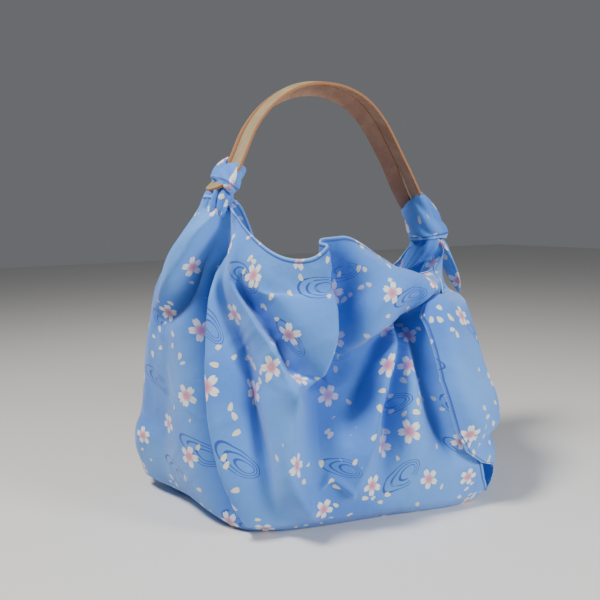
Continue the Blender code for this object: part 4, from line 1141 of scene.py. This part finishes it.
def leather(name):
    """Vegetable-tanned cowhide: fine grain on the face, burnished cut edges and a plain brown flesh side."""
    paint = Paint(name, 0.5)
    solid = paint.node("ShaderNodeTexCoord", {}, (), 3)
    face = paint.noise(solid, 60.0, 3.0, 0.6)
    grain = paint.noise(solid, 1400.0, 2.0, 0.6)
    khaki, brown = (paint.mix(face.step(0.35, 0.68), *shades) for shades in (KHAKI, FLESH_BROWN))
    colour = paint.mix(paint.mark("face"), brown, khaki)
    colour = paint.mix(paint.mark("edge"), colour, BURNISHED)
    paint.put(colour, paint.shader.inputs["Base Color"])
    paint.put(0.50 + grain * 0.2, paint.shader.inputs["Roughness"])
    paint.bump(grain * 0.1 + face, GRAIN_RELIEF, strength=0.6)
    return paint.material


section = np.array(strap_outline())
strap = np.array([
    [ring_place(run + out_run * out, beside + out_beside * out, lift) for out, lift in section]
    for run, beside, out_run, out_beside in ring_line()
])
marks = {"face": section[:, 1] > 0, "edge": np.abs(section[:, 0]) > STRAND_WIDE / 2 - EDGE_ROUND * 0.9}
bm = bmesh.new()
laid_grid(bm, strap, {name: np.broadcast_to(mark, strap.shape[:2]) for name, mark in marks.items()})
handle = closed_piece("leather_ring", bm, leather("leather"))
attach(handle, "root")
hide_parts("handle")

# ---------------------------------------------------------------------------------------------------------
# A plain pale floor, soft studio light from a lamp high at the left and a weaker, lower one at the front
# right, a dim sky, and the camera.

floor_paint = Paint("pale_floor", 0.7)
floor_paint.shader.inputs["Base Color"].default_value = (0.78, 0.76, 0.72, 1.0)
bm = bmesh.new()
bmesh.ops.create_grid(bm, x_segments=1, y_segments=1, size=4.0)
floor = new_piece("floor", bm, floor_paint.material)

world = bpy.data.worlds.new("studio")
bpy.context.scene.world = world
world.use_nodes = True
sky = world.node_tree.nodes["Background"].inputs
sky["Color"].default_value = (0.90, 0.93, 1.0, 1.0)
sky["Strength"].default_value = 0.16


def soft_lamp(name, place, aim, size, power, colour):
    lamp = bpy.data.lights.new(name, "AREA")
    lamp.shape, lamp.size, lamp.energy, lamp.color = "DISK", size, power, colour
    made = bpy.data.objects.new(name, lamp)
    made.location = place
    made.rotation_euler = (Vector(aim) - Vector(place)).to_track_quat("-Z", "Y").to_euler()
    bpy.context.scene.collection.objects.link(made)


BAG_MIDDLE = (0.02, 0.0, 0.18)
soft_lamp("key", (-0.72, -0.12, 1.36), BAG_MIDDLE, size=0.35, power=25.0, colour=(1.0, 0.98, 0.95))
soft_lamp("fill", (0.60, -1.10, 0.60), BAG_MIDDLE, size=0.4, power=13.0, colour=(0.95, 0.97, 1.0))

CAMERA_PLACE = (-0.3089, -0.6409, 0.300)
CAMERA_HEADING = radians(25.96)  # from +Y towards +X
CAMERA_DIP = radians(7.4)
CAMERA_ROLL = radians(1.15)
camera = bpy.data.objects.new("camera", bpy.data.cameras.new("camera"))
camera.data.sensor_width = 36.0
camera.data.lens = 39.0
turn = Matrix.Rotation(-CAMERA_HEADING, 4, "Z") @ Matrix.Rotation(pi / 2 - CAMERA_DIP, 4, "X")
camera.matrix_world = Matrix.Translation(CAMERA_PLACE) @ turn @ Matrix.Rotation(-CAMERA_ROLL, 4, "Z")
bpy.context.scene.collection.objects.link(camera)
bpy.context.scene.camera = camera
